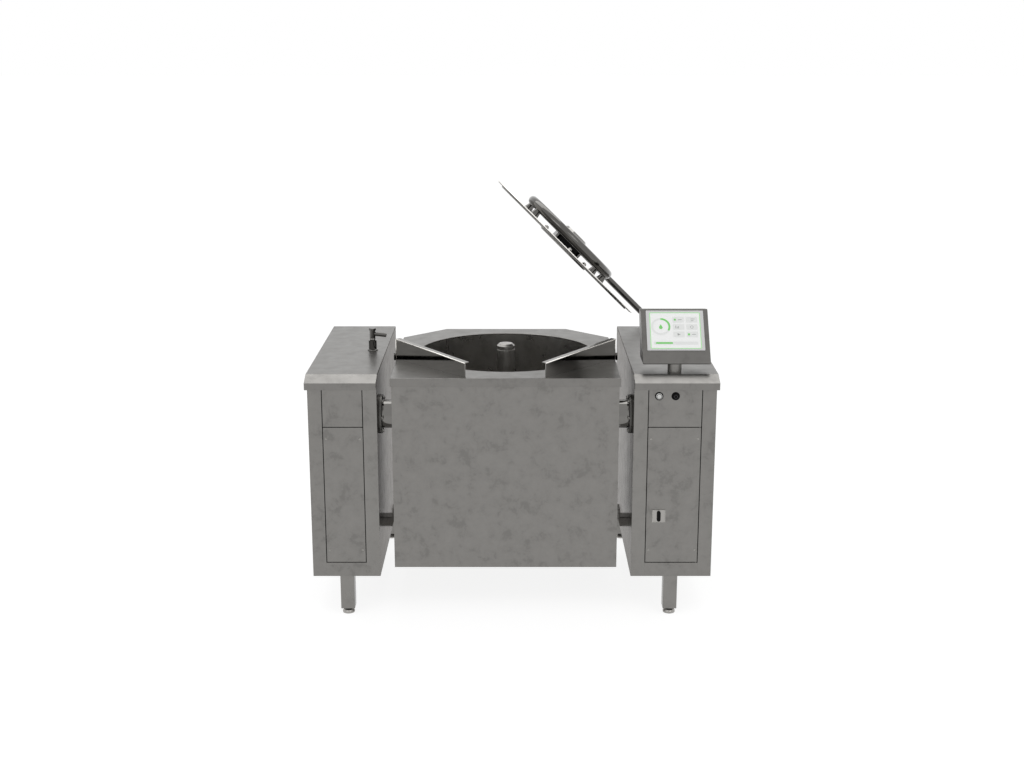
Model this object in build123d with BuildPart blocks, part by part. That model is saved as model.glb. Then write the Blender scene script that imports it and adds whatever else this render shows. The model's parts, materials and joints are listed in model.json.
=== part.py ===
from build123d import *
from math import cos, radians, sin, sqrt
import os

os.makedirs("parts", exist_ok=True)

# Tilting steam jacketed kettle with a built-in mixer, hung between two floor standing columns.
# Millimetres. X runs left to right, Y from the operator to the back, Z up from the floor.
# The origin is on the floor, in the middle of the overall width and depth.

# ---- fits ----
running_clearance = 0.08
seat_gap = 0.4

# ---- columns ----
left_column_width = 246
right_column_width = 293
column_gap = 915
column_depth = 882
column_height = 900
column_bottom = 150
sheet = 2
stile_width = 49.5
cover_overhang = 9
cover_inset = 1
cover_lip = 25
bevel_height = 21
bevel_depth = 52
bottom_rail_top = 202
panel_split = 715.5
panel_gap = 3
panel_return = 15
rail_flange = 20
fastener_radius = 4
fastener_head = 1.2
fastener_inset_x = 10
fastener_inset_top = 42
fastener_inset_bottom = 47

# ---- legs, feet and tie beam ----
leg_width = 51
leg_wall = 2.5
leg_setback = 2
leg_bottom = 22
leg_plate = 6
foot_stem_radius = 11
foot_pad_radius = 22
foot_pad_height = 12
foot_plug = 16
back_leg_setback = 31
beam_depth = 60
beam_height = 40
beam_wall = 3
beam_front = 598
beam_bottom = 127
beam_plate = 6
beam_plate_height = 76

# ---- kettle body ----
kettle_width = 820
kettle_depth = 857
rim_step = 5
kettle_bottom = 183
corner_cut = 165
plate_thickness = 3
rim_drop = 31
casing_inset = 5
casing_sheet = 2
rim_round = 2.5

# ---- vessel, jacket and mixer drive ----
vessel_center = 434
vessel_radius = 335
vessel_wall = 4
dish_bottom = 370
dish_crown = 800
knuckle_radius = 60
jacket_gap = 28
jacket_wall = 3
jacket_top = 760
neck_radius = 42
neck_height = 18
drive_radius = 80
drive_clearance = 12
motor_radius = 52
motor_length = 230
motor_height = 262

# ---- mixer ----
post_radius = 33.5
post_rise = 32.5
cap_height = 20
cap_bevel = 8
cap_groove = 1.5
spindle_radius = 24
spindle_length = 70
anchor_gap = 16
anchor_width = 26
anchor_thickness = 12
anchor_top = 640
anchor_hub_radius = 50
anchor_hub_height = 56
scraper_clearance = 3
scraper_thickness = 22
scraper_gap = 22
scraper_pitch = 92
scraper_count = 2
scraper_inner = 100
scraper_outer = 250

# ---- splash guards ----
guard_front_x = 143.5
guard_back_x = 409
guard_front_y = 11
guard_back_y = 296
guard_front_height = 54
guard_back_height = 79.5
guard_sheet = 3
guard_flange = 20
guard_tab = 14
guard_tab_rise = 24
guard_tab_drop = 4

# ---- trunnions and tilt drive ----
tilt_axis_back = 147
tilt_axis_drop = 174
trunnion_radius = 52
trunnion_wall = 4
trunnion_shaft_radius = 30
trunnion_end_gap = 1
trunnion_plate = 190
trunnion_plate_thickness = 8
trunnion_plate_round = 12
flange_radius = 71.5
flange_thickness = 8
bearing_radius = 46
bearing_depth = 36
flange_bolt_count = 6
flange_bolt_pitch_radius = 62
flange_bolt_radius = 5.5
flange_bolt_head = 5
gearbox_width = 90
gearbox_size = 150
gearbox_round = 20
tilt_motor_radius = 55
tilt_motor_length = 220
torque_foot = 30

# ---- control panel, door and latch ----
button_share = 0.7127
button_pitch = 58.5
bezel_radius = 15
bezel_proud = 3.5
button_radius = 11
button_proud = 7.5
button_stem = 14
button_travel = 4
button_clearance = 0.35
block_wall = 3
latch_from_edge = 44.5
latch_level = 382
latch_plate_size = 49
latch_plate_thickness = 2.5
latch_plate_round = 2
wing_width = 13.5
wing_length = 38
wing_proud = 5
latch_shaft_radius = 6
cam_reach = 58
cam_width = 18
cam_thickness = 3
hinge_pin_radius = 3
hinge_pin_inset = 4
cabinet_width = 150
cabinet_depth = 220
cabinet_height = 360
cabinet_bottom = 250
cabinet_setback = 180

# ---- display ----
display_offset = 8
display_post_offset = 3
display_post_radius = 25
display_post_back = 86
display_width = 243
display_front = 48
display_rise = 33
display_face = 228
display_lean = 40
display_top_depth = 67
display_top_fall = 12
display_bottom_depth = 124
display_round = 4
screen_width = 207.5
screen_height = 163
screen_low = 56.5
screen_pocket = 3
screen_proud = 3
screen_round = 3

# ---- tap ----
tap_from_side = 52
tap_back = 437
tap_base_radius = 15.3
tap_base_height = 39
tap_neck_radius = 11
tap_neck_height = 39
tap_cap_radius = 14
tap_cap_height = 8
tap_pivot_radius = 6
tap_pivot_depth = 20
spout_radius = 8
spout_length = 54
spout_level = 25
spout_bore = 5.5
spout_drop = 6

# ---- lid and its carrier ----
lid_radius = 354.5
lid_thickness = 3
lid_level = 4
plug_radius = 327.5
plug_depth = 7
pan_bevel = 2
seal_width = 20
seal_gap = 0.6
lid_turn = 6.6
lid_open = 45
hinge_reach = 590.5
hinge_drop = 72.6
hinge_back = 441
ring_radius = 196.5
ring_tube = 17.5
ring_level = 39
ring_sides = 16
ring_shift = -10
spoke_radius = 7
spoke_level = 29
cone_base = 17
cone_top = 9
cone_angle = 27
hub_radius = 54
hub_wall = 5
hub_height = 48
hub_cap_height = 16
hub_cap_bevel = 8
hub_clip_width = 56
hub_clip_thickness = 8
hub_plate_radius = 115.5
hub_plate_thickness = 5
hub_nut_pitch_radius = 102
hub_nut_radius = 9
hub_nut_height = 6
hub_nut_count = 4
arm_radius = 13
arm_level = 33
arm_bend = 90
arm_straight_end = 300
arm_join_angle = 54
lever_width = 34
lever_thickness = 28
lever_hub_radius = 27
sleeve_radius = 17
hinge_pin = 9
ear_thickness = 10
ear_gap = 4
ear_radius = 24
bracket_drop = 62
bracket_plate_width = 120
bracket_plate_height = 110
bracket_thickness = 8

# ---- pipe and cable entries at the back ----
stub_radius = 13.5
stub_bore = 10.5
stub_length = 30
stub_flange_radius = 24
stub_flange = 5
stub_level = 260
stub_pitch = 70
gland_radius = 16
gland_bore = 9
gland_length = 26
gland_level = 225

# ---- derived places ----
turn_x = cos(radians(lid_turn))
turn_y = sin(radians(lid_turn))
ear_inside = lever_thickness / 2 + ear_gap
ear_outside = ear_inside + ear_thickness
overall_back = (
    vessel_center
    + hinge_reach * turn_y
    + (hinge_back + ear_outside) * turn_x
    + ear_radius * turn_y
)
front = (cover_overhang - overall_back) / 2
back = front + column_depth
total_width = left_column_width + column_gap + right_column_width
left_out = -total_width / 2
left_in = left_out + left_column_width
right_out = total_width / 2
right_in = right_out - right_column_width
left_middle = (left_out + left_in) / 2
right_middle = (right_out + right_in) / 2
kettle_x = (left_in + right_in) / 2
cover_under = column_height - sheet
kettle_rim_height = column_height - rim_step
tilt_axis_height = column_height - tilt_axis_drop
post_top = kettle_rim_height + post_rise
display_bottom = column_height + display_rise
lip_top = column_height - bevel_height
lip_bottom = lip_top - cover_lip
wall_front_top = lip_top - 1.5 * sheet
tilt_y = front + tilt_axis_back
vessel_y = front + vessel_center
casing_half = kettle_width / 2 - casing_inset
plate_under = kettle_rim_height - plate_thickness


def save(part, name):
    part.label = name
    export_step(part, f"parts/{name}.step")


# ================= columns =================

def side_profile():
    """Outline of a column side, with its top front corner cut along the cover's bevel."""
    with BuildSketch() as profile:
        with BuildLine():
            Polyline(
                (front, column_bottom),
                (front, wall_front_top),
                (front + bevel_depth - cover_overhang + sheet, cover_under),
                (back, cover_under),
                (back, column_bottom),
                close=True,
            )
        make_face()
    return profile.sketch


def column_outer(x_out, x_in):
    """Folded sheet that makes the outer side, the front stile and the back."""
    inward = 1 if x_in > x_out else -1
    with BuildPart() as piece:
        with BuildSketch(Plane.YZ.offset(x_out)):
            add(side_profile())
        extrude(amount=inward * sheet)
        with BuildSketch(Plane.XY.offset(column_bottom)):
            with Locations((x_out + inward * stile_width / 2, front + sheet / 2)):
                Rectangle(stile_width, sheet)
        extrude(amount=wall_front_top - column_bottom)
        with BuildSketch(Plane.XY.offset(column_bottom)):
            with Locations(((x_out + x_in) / 2, back - sheet / 2)):
                Rectangle(abs(x_in - x_out) - 2 * sheet, sheet)
        extrude(amount=cover_under - column_bottom)
        corners = piece.edges().filter_by(Axis.Z)
        fillet(corners.group_by(Axis.X)[0 if inward > 0 else -1], 0.9 * sheet)
    return piece.part


def column_inner(x_out, x_in):
    """Inner side with its front stile and the hole for the trunnion bearing."""
    inward = 1 if x_out > x_in else -1
    with BuildPart() as piece:
        with BuildSketch(Plane.YZ.offset(x_in)):
            add(side_profile())
            with Locations((tilt_y, tilt_axis_height)):
                Circle(bearing_radius, mode=Mode.SUBTRACT)
        extrude(amount=inward * sheet)
        with BuildSketch(Plane.XY.offset(column_bottom)):
            with Locations((x_in + inward * stile_width / 2, front + sheet / 2)):
                Rectangle(stile_width, sheet)
        extrude(amount=wall_front_top - column_bottom)
    return piece.part


def column_floor(x_out, x_in, pin_points):
    """Bottom tray with the front rail that closes the frame under the lower panel."""
    wide = abs(x_out - x_in)
    rail_wide = wide - 2 * stile_width
    middle = (x_out + x_in) / 2
    with BuildPart() as piece:
        with BuildSketch(Plane.XY.offset(column_bottom)):
            with Locations((middle, (front + back) / 2)):
                Rectangle(wide - 2 * sheet, column_depth - 2 * sheet)
        extrude(amount=sheet)
        with BuildSketch(Plane.XY.offset(column_bottom)):
            with Locations((middle, front + sheet / 2)):
                Rectangle(rail_wide, sheet)
        extrude(amount=bottom_rail_top - column_bottom)
        with BuildSketch(Plane.XY.offset(bottom_rail_top)):
            with Locations((middle, front + rail_flange / 2)):
                Rectangle(rail_wide, rail_flange)
            if pin_points:
                with Locations(*pin_points):
                    Circle(hinge_pin_radius + running_clearance, mode=Mode.SUBTRACT)
        extrude(amount=-sheet)
    return piece.part


def column_cover(x_out, x_in):
    """Bevelled top with a turned lip at the front, the outer side and the back."""
    outward = 1 if x_out > x_in else -1
    inner = x_in + outward * cover_inset
    run = abs(x_out - x_in) + cover_overhang - cover_inset
    slope = bevel_height / bevel_depth
    thick = sheet * sqrt(1 + slope**2)
    lip_front = front - cover_overhang
    with BuildPart() as piece:
        with BuildSketch(Plane.YZ.offset(inner)):
            with BuildLine():
                Polyline(
                    (lip_front, lip_bottom),
                    (lip_front, lip_top),
                    (lip_front + bevel_depth, column_height),
                    (back + sheet, column_height),
                    (back + sheet, lip_bottom),
                    close=True,
                )
            make_face()
        extrude(amount=outward * run)
        with BuildSketch(Plane.YZ.offset(inner)):
            with BuildLine():
                Polyline(
                    (lip_front + sheet, lip_bottom),
                    (lip_front + sheet, lip_top + slope * sheet - thick),
                    (lip_front + bevel_depth + (thick - sheet) / slope, cover_under),
                    (back, cover_under),
                    (back, lip_bottom),
                    close=True,
                )
            make_face()
        extrude(amount=outward * (run - sheet), mode=Mode.SUBTRACT)
    return piece.part


left_panel_width = left_column_width - 2 * stile_width - 2 * panel_gap
right_panel_width = right_column_width - 2 * stile_width - 2 * panel_gap
lower_low = bottom_rail_top + panel_gap
lower_high = panel_split - panel_gap / 2
upper_low = panel_split + panel_gap / 2
upper_high = wall_front_top
button_level = upper_low + button_share * (upper_high - upper_low)
pin_x = right_middle + right_panel_width / 2 - hinge_pin_inset
pin_y = front + hinge_pin_inset + sheet / 2
latch_x = right_middle - right_panel_width / 2 + latch_from_edge

save(column_outer(left_out, left_in), "left_column_outer_side")
save(column_inner(left_out, left_in), "left_column_inner_side")
save(column_floor(left_out, left_in, []), "left_column_floor")
save(column_cover(left_out, left_in), "left_column_cover")
save(column_outer(right_out, right_in), "right_column_outer_side")
save(column_inner(right_out, right_in), "right_column_inner_side")
save(column_floor(right_out, right_in, [(pin_x, pin_y)]), "right_column_floor")
save(column_cover(right_out, right_in), "right_column_cover")


# ---- panels between the stiles ----
def panel(x, wide, low, high, fixed):
    """Sheet panel with its edges turned back, and tabs behind the stiles where it is fixed."""
    middle = (x, (low + high) / 2)
    tall = high - low
    with BuildPart() as piece:
        with BuildSketch(Plane.XZ.offset(-front)):
            with Locations(middle):
                Rectangle(wide, tall)
        extrude(amount=-panel_return)
        with BuildSketch(Plane.XZ.offset(-front - sheet)):
            with Locations(middle):
                Rectangle(wide - 2 * sheet, tall - 2 * sheet)
        extrude(amount=-panel_return, mode=Mode.SUBTRACT)
        if fixed:
            with BuildSketch(Plane.XZ.offset(-front - sheet)):
                with Locations(middle):
                    Rectangle(wide + 2 * panel_gap + rail_flange, tall / 2)
                    Rectangle(wide - 2 * sheet, tall, mode=Mode.SUBTRACT)
            extrude(amount=-sheet)
    return piece.part


with BuildPart() as left_upper_panel:
    add(panel(left_middle, left_panel_width, upper_low, upper_high, True))
save(left_upper_panel.part, "left_upper_panel")

with BuildPart() as left_lower_panel:
    add(panel(left_middle, left_panel_width, lower_low, lower_high, True))
save(left_lower_panel.part, "left_lower_panel")

button_points = [(right_middle - button_pitch, button_level), (right_middle, button_level)]

with BuildPart() as control_panel:
    add(panel(right_middle, right_panel_width, upper_low, upper_high, True))
    with BuildSketch(Plane.XZ.offset(-front)):
        with Locations(*button_points):
            Circle(button_radius + button_clearance)
    extrude(amount=-sheet, mode=Mode.SUBTRACT)
    with BuildSketch(Plane.XY.offset(upper_low)):
        with Locations((pin_x, pin_y)):
            Circle(hinge_pin_radius + running_clearance)
    extrude(amount=sheet, mode=Mode.SUBTRACT)
save(control_panel.part, "control_panel")

# The door hangs on two pins, and its free edge is notched where the cam swings out.
cam_path = sqrt(cam_reach**2 - (latch_from_edge - sheet) ** 2) + cam_width / 2

with BuildPart() as control_door:
    add(panel(right_middle, right_panel_width, lower_low, lower_high, False))
    with BuildSketch(Plane.XZ.offset(-front)):
        with Locations((latch_x, latch_level)):
            Circle(latch_shaft_radius + running_clearance)
    extrude(amount=-sheet, mode=Mode.SUBTRACT)
    with BuildSketch(Plane.XZ.offset(-front - sheet)):
        with Locations((latch_x - latch_from_edge, latch_level + (cam_path - cam_width / 2) / 2)):
            Rectangle(3 * sheet, cam_path + cam_width / 2 + 2 * cam_thickness)
    extrude(amount=-3 * cam_thickness, mode=Mode.SUBTRACT)
    with BuildSketch(Plane.XY.offset(lower_high - sheet)):
        with Locations((pin_x, pin_y)):
            Circle(hinge_pin_radius)
    extrude(amount=2 * sheet + panel_gap)
    with BuildSketch(Plane.XY.offset(lower_low + sheet)):
        with Locations((pin_x, pin_y)):
            Circle(hinge_pin_radius)
    extrude(amount=-2 * sheet - panel_gap)
save(control_door.part, "control_door")


def corner_fasteners(x, wide):
    """Low heads near the four corners of a lower panel."""
    half = wide / 2 - fastener_inset_x
    low = lower_low + fastener_inset_bottom
    high = lower_high - fastener_inset_top
    with BuildPart() as heads:
        with BuildSketch(Plane.XZ.offset(-front)):
            with Locations((x - half, low), (x + half, low), (x - half, high), (x + half, high)):
                Circle(fastener_radius)
        extrude(amount=fastener_head, taper=20)
    return heads.part


save(corner_fasteners(left_middle, left_panel_width), "left_panel_fasteners")
save(corner_fasteners(right_middle, right_panel_width), "door_fasteners")

# ---- legs and feet ----
leg_side = leg_width / 2 + sheet
front_leg_y = front + leg_setback + leg_width / 2
back_leg_y = back - back_leg_setback - leg_width / 2
leg_points = [
    (left_middle, front_leg_y),
    (left_in - leg_side, back_leg_y),
    (left_out + leg_side, back_leg_y),
    (right_middle, front_leg_y),
    (right_in + leg_side, back_leg_y),
    (right_out - leg_side, back_leg_y),
]

with BuildPart() as legs:
    with BuildSketch(Plane.XY.offset(leg_bottom)):
        with Locations(*leg_points):
            RectangleRounded(leg_width, leg_width, 1.6 * leg_wall)
    extrude(amount=column_bottom - leg_bottom)
    with BuildSketch(Plane.XY.offset(leg_bottom)):
        with Locations(*leg_points):
            Rectangle(leg_width - 2 * leg_wall, leg_width - 2 * leg_wall)
    extrude(amount=column_bottom - leg_bottom - leg_plate, mode=Mode.SUBTRACT)
save(legs.part, "legs")

with BuildPart() as leveling_feet:
    with BuildSketch(Plane.XY):
        with Locations(*leg_points):
            Circle(foot_pad_radius)
    extrude(amount=foot_pad_height / 2)
    with BuildSketch(Plane.XY.offset(foot_pad_height / 2)):
        with Locations(*leg_points):
            Circle(foot_pad_radius)
    extrude(amount=foot_pad_height / 2, taper=30)
    with BuildSketch(Plane.XY.offset(foot_pad_height)):
        with Locations(*leg_points):
            Circle(foot_stem_radius)
    extrude(amount=leg_bottom - foot_pad_height)
    with BuildSketch(Plane.XY.offset(leg_bottom)):
        with Locations(*leg_points):
            Rectangle(leg_width - 2 * leg_wall, leg_width - 2 * leg_wall)
    extrude(amount=foot_plug)
save(leveling_feet.part, "leveling_feet")

# ---- tie beam between the columns ----
beam_y = front + beam_front + beam_depth / 2

with BuildPart() as tie_beam:
    with BuildSketch(Plane.YZ.offset(left_in + beam_plate)):
        with Locations((beam_y, beam_bottom + beam_height / 2)):
            RectangleRounded(beam_depth, beam_height, 1.6 * beam_wall)
            Rectangle(beam_depth - 2 * beam_wall, beam_height - 2 * beam_wall, mode=Mode.SUBTRACT)
    extrude(amount=column_gap - 2 * beam_plate)
    for inner_face, way in ((left_in, 1), (right_in, -1)):
        with BuildSketch(Plane.YZ.offset(inner_face)):
            with Locations((beam_y, beam_bottom + beam_plate_height / 2)):
                Rectangle(beam_depth, beam_plate_height)
        extrude(amount=way * beam_plate)
save(tie_beam.part, "tie_beam")

# ================= trunnions and tilt drive =================

with BuildPart() as bearing_flanges:
    for inner_face, way in ((left_in, 1), (right_in, -1)):
        with BuildSketch(Plane.YZ.offset(inner_face)):
            with Locations((tilt_y, tilt_axis_height)):
                Circle(flange_radius)
        extrude(amount=way * flange_thickness)
        with BuildSketch(Plane.YZ.offset(inner_face)):
            with Locations((tilt_y, tilt_axis_height)):
                Circle(bearing_radius)
        extrude(amount=-way * bearing_depth)
        with BuildSketch(Plane.YZ.offset(inner_face - way * bearing_depth)):
            with Locations((tilt_y, tilt_axis_height)):
                Circle(trunnion_shaft_radius + running_clearance)
        extrude(amount=way * (bearing_depth + flange_thickness), mode=Mode.SUBTRACT)
save(bearing_flanges.part, "bearing_flanges")

with BuildPart() as flange_bolts:
    for inner_face, way in ((left_in, 1), (right_in, -1)):
        with BuildSketch(Plane.YZ.offset(inner_face + way * flange_thickness)):
            with Locations((tilt_y, tilt_axis_height)):
                with PolarLocations(flange_bolt_pitch_radius, flange_bolt_count):
                    RegularPolygon(flange_bolt_radius, 6)
        extrude(amount=way * flange_bolt_head)
save(flange_bolts.part, "flange_bolts")


def trunnion(way, column_face, shaft_end):
    """Polished tube with its plate inside the casing and its shaft through the bearing."""
    wall_face = kettle_x - way * (casing_half - casing_sheet)
    plate_face = wall_face + way * trunnion_plate_thickness
    end = column_face + way * (flange_thickness + trunnion_end_gap)
    with BuildPart() as piece:
        with BuildSketch(Plane.YZ.offset(wall_face)):
            with Locations((tilt_y, tilt_axis_height)):
                RectangleRounded(trunnion_plate, trunnion_plate, trunnion_plate_round)
        extrude(amount=plate_face - wall_face)
        with BuildSketch(Plane.YZ.offset(wall_face)):
            with Locations((tilt_y, tilt_axis_height)):
                Circle(trunnion_radius)
        extrude(amount=end - wall_face)
        with BuildSketch(Plane.YZ.offset(plate_face)):
            with Locations((tilt_y, tilt_axis_height)):
                Circle(trunnion_radius - trunnion_wall)
        extrude(amount=end + way * trunnion_wall - plate_face, mode=Mode.SUBTRACT)
        with BuildSketch(Plane.YZ.offset(end)):
            with Locations((tilt_y, tilt_axis_height)):
                Circle(trunnion_shaft_radius)
        extrude(amount=shaft_end - end)
    return piece.part


gearbox_face = left_in - bearing_depth - seat_gap
gearbox_end = gearbox_face - gearbox_width
save(trunnion(1, left_in, gearbox_end - 2 * seat_gap), "left_trunnion")
save(trunnion(-1, right_in, right_in + bearing_depth + 2 * seat_gap), "right_trunnion")

# Worm gearmotor on the left shaft, held against turning by its foot on the column side.
with BuildPart() as tilt_gearmotor:
    with BuildSketch(Plane.YZ.offset(gearbox_face)):
        with Locations((tilt_y, tilt_axis_height)):
            RectangleRounded(gearbox_size, gearbox_size, gearbox_round)
    extrude(amount=-gearbox_width)
    with BuildSketch(Plane.XY.offset(tilt_axis_height - gearbox_size / 2)):
        with Locations((gearbox_face - gearbox_width / 2, tilt_y)):
            Circle(tilt_motor_radius)
    extrude(amount=-tilt_motor_length)
    fillet(tilt_gearmotor.faces().sort_by(Axis.Z)[0].edges(), 0.2 * tilt_motor_radius)
    with BuildSketch(Plane.YZ.offset(left_in - sheet)):
        with Locations((tilt_y + (gearbox_size + torque_foot) / 2, tilt_axis_height)):
            Rectangle(torque_foot, 0.8 * gearbox_size)
    extrude(amount=gearbox_face - 3 * sheet - left_in + sheet)
    with BuildSketch(Plane.YZ.offset(gearbox_face)):
        with Locations((tilt_y, tilt_axis_height)):
            Circle(trunnion_shaft_radius + running_clearance)
    extrude(amount=-gearbox_width, mode=Mode.SUBTRACT)
save(tilt_gearmotor.part, "tilt_gearmotor")

# ================= kettle body =================

def kettle_plan(inset):
    """Plan of the kettle: a rectangle with its two back corners cut at 45 degrees."""
    half = kettle_width / 2 - inset
    near = front + inset
    far = front + kettle_depth - inset
    cut = corner_cut - inset * (2 - sqrt(2))
    with BuildSketch() as plan:
        with BuildLine():
            Polyline(
                (kettle_x - half, near),
                (kettle_x + half, near),
                (kettle_x + half, far - cut),
                (kettle_x + half - cut, far),
                (kettle_x - half + cut, far),
                (kettle_x - half, far - cut),
                close=True,
            )
        make_face()
    return plan.sketch


def casing_wall(x_low, x_high, y_low, y_high):
    """The part of the folded casing wall that lies inside a plan box."""
    with BuildPart() as piece:
        with BuildSketch(Plane.XY.offset(kettle_bottom)):
            add(kettle_plan(casing_inset))
            add(kettle_plan(casing_inset + casing_sheet), mode=Mode.SUBTRACT)
            with Locations(((x_low + x_high) / 2, (y_low + y_high) / 2)):
                Rectangle(x_high - x_low, y_high - y_low, mode=Mode.INTERSECT)
        extrude(amount=plate_under - kettle_bottom)
        with BuildSketch(Plane.YZ.offset(kettle_x - kettle_width)):
            with Locations((tilt_y, tilt_axis_height)):
                Circle(trunnion_radius)
        if y_low < tilt_y < y_high:
            extrude(amount=2 * kettle_width, mode=Mode.SUBTRACT)
    return piece.part


casing_front = front + casing_inset
side_front = casing_front + casing_sheet
casing_back = front + kettle_depth - casing_inset
back_half = casing_half - corner_cut + casing_inset * (2 - sqrt(2))
casing_left = kettle_x - casing_half
casing_right = kettle_x + casing_half
back_left = kettle_x - back_half
back_right = kettle_x + back_half
back_inside = casing_back - casing_sheet

save(casing_wall(casing_left, casing_right, casing_front, side_front), "kettle_front_panel")
save(casing_wall(casing_left, back_left, side_front, casing_back), "kettle_left_side")
save(casing_wall(back_right, casing_right, side_front, casing_back), "kettle_right_side")
save(casing_wall(back_left, back_right, back_inside, casing_back), "kettle_back")

with BuildPart() as kettle_floor:
    with BuildSketch(Plane.XY.offset(kettle_bottom)):
        add(kettle_plan(casing_inset + casing_sheet))
    extrude(amount=casing_sheet)
save(kettle_floor.part, "kettle_floor")

with BuildPart() as kettle_top_plate:
    with BuildSketch(Plane.XY.offset(kettle_rim_height)):
        add(kettle_plan(0))
    extrude(amount=-rim_drop)
    fillet(kettle_top_plate.faces().sort_by(Axis.Z)[-1].edges(), rim_round)
    with BuildSketch(Plane.XY.offset(plate_under)):
        add(kettle_plan(casing_sheet))
    extrude(amount=plate_thickness - rim_drop, mode=Mode.SUBTRACT)
    with BuildSketch(Plane.XY.offset(kettle_rim_height)):
        with Locations((kettle_x, vessel_y)):
            Circle(vessel_radius)
    extrude(amount=-plate_thickness, mode=Mode.SUBTRACT)
save(kettle_top_plate.part, "kettle_top_plate")

# ---- vessel, jacket and mixer, all turned about the vessel's axis ----
vessel_side = Plane((kettle_x, vessel_y, 0), x_dir=(1, 0, 0), z_dir=(0, -1, 0))
vessel_axis = Axis((kettle_x, vessel_y, 0), (0, 0, 1))


def bowl_section(gap, top):
    """Half section of the space inside a dished bowl that lies a gap outside the vessel's."""
    radius = vessel_radius + gap
    crown = dish_crown + gap
    center = dish_bottom + dish_crown
    corner = center - sqrt(crown**2 - radius**2)
    half_x = radius / 2
    half_z = center - sqrt(crown**2 - half_x**2)
    with BuildSketch() as section:
        with BuildLine():
            ThreePointArc((0, center - crown), (half_x, half_z), (radius, corner))
            Line((radius, corner), (radius, top))
            Line((radius, top), (0, top))
            Line((0, top), (0, center - crown))
        make_face()
        corner_point = section.vertices().sort_by(Axis.X)[-2:].sort_by(Axis.Y)[0]
        fillet(corner_point, knuckle_radius + gap)
    return section.sketch


with BuildPart() as vessel:
    with BuildSketch(vessel_side):
        add(bowl_section(vessel_wall, plate_under))
        add(bowl_section(0, plate_under), mode=Mode.SUBTRACT)
        with Locations((0, dish_bottom)):
            Rectangle(2 * neck_radius, 4 * vessel_wall, mode=Mode.SUBTRACT)
    revolve(axis=vessel_axis)
save(vessel.part, "vessel")

jacket_neck = drive_radius + drive_clearance

with BuildPart() as steam_jacket:
    with BuildSketch(vessel_side):
        add(bowl_section(jacket_gap + jacket_wall, jacket_top))
        with Locations((0, dish_bottom)):
            Rectangle(2 * jacket_neck, 4 * jacket_gap, mode=Mode.SUBTRACT)
    revolve(axis=vessel_axis)
    with BuildSketch(vessel_side):
        add(bowl_section(jacket_gap, jacket_top - jacket_wall))
        with Locations((0, dish_bottom)):
            Rectangle(2 * (jacket_neck + jacket_wall), 4 * jacket_gap, mode=Mode.SUBTRACT)
    revolve(axis=vessel_axis, mode=Mode.SUBTRACT)
    with BuildSketch(vessel_side):
        add(bowl_section(vessel_wall, plate_under))
    revolve(axis=vessel_axis, mode=Mode.SUBTRACT)
save(steam_jacket.part, "steam_jacket")

# Mixer gearmotor: a round gearbox under the dish, its neck through the dish, its motor to the front.
neck_top = dish_bottom + neck_height
drive_top = dish_bottom - vessel_wall
drive_bottom = kettle_bottom + casing_sheet

with BuildPart() as mixer_gearmotor:
    with BuildSketch(Plane.XY.offset(drive_bottom)):
        with Locations((kettle_x, vessel_y)):
            Circle(drive_radius)
    extrude(amount=drive_top - drive_bottom - vessel_wall)
    with BuildSketch(Plane.XY.offset(drive_bottom)):
        with Locations((kettle_x, vessel_y)):
            Circle(neck_radius)
    extrude(amount=neck_top - drive_bottom)
    with BuildSketch(Plane.XZ.offset(-vessel_y)):
        with Locations((kettle_x, motor_height)):
            Circle(motor_radius)
    extrude(amount=motor_length)
    with BuildSketch(Plane.XY.offset(neck_top)):
        with Locations((kettle_x, vessel_y)):
            Circle(spindle_radius + running_clearance)
    extrude(amount=-spindle_length - seat_gap, mode=Mode.SUBTRACT)
save(mixer_gearmotor.part, "mixer_gearmotor")

cap_bottom = post_top - cap_height

with BuildPart() as mixer_post:
    with BuildSketch(vessel_side):
        with BuildLine():
            Polyline(
                (0, neck_top - spindle_length),
                (spindle_radius, neck_top - spindle_length),
                (spindle_radius, neck_top + seat_gap),
                (post_radius, neck_top + seat_gap),
                (post_radius, cap_bottom - 2 * cap_groove),
                (post_radius - cap_groove, cap_bottom - 2 * cap_groove),
                (post_radius - cap_groove, cap_bottom),
                (post_radius, cap_bottom),
                (post_radius, post_top - cap_bevel),
                (post_radius - cap_bevel, post_top),
                (0, post_top),
                close=True,
            )
        make_face()
    revolve(axis=vessel_axis)
save(mixer_post.part, "mixer_post")

# The anchor follows the bowl at a steady gap, and the scrapers fill most of that gap.
with BuildPart() as mixing_arm:
    with BuildSketch(vessel_side):
        add(bowl_section(-anchor_gap, anchor_top))
        add(bowl_section(-anchor_gap - anchor_width, plate_under), mode=Mode.SUBTRACT)
        mirror(about=Plane.YZ)
    extrude(amount=anchor_thickness / 2, both=True)
    with BuildSketch(Plane.XY.offset(neck_top + seat_gap)):
        with Locations((kettle_x, vessel_y)):
            Circle(anchor_hub_radius)
    extrude(amount=anchor_hub_height)
    with BuildSketch(Plane.XY.offset(dish_bottom)):
        with Locations((kettle_x, vessel_y)):
            Circle(neck_radius + 3 * seat_gap)
    extrude(amount=neck_height + seat_gap, mode=Mode.SUBTRACT)
    with BuildSketch(Plane.XY.offset(dish_bottom)):
        with Locations((kettle_x, vessel_y)):
            Circle(post_radius)
    extrude(amount=anchor_hub_height + neck_height + seat_gap, mode=Mode.SUBTRACT)
    fillet(mixing_arm.faces().sort_by(Axis.Z)[-1].edges(), 0.3 * anchor_thickness)
save(mixing_arm.part, "mixing_arm")

last_gap = anchor_top - scraper_count * scraper_pitch

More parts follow.
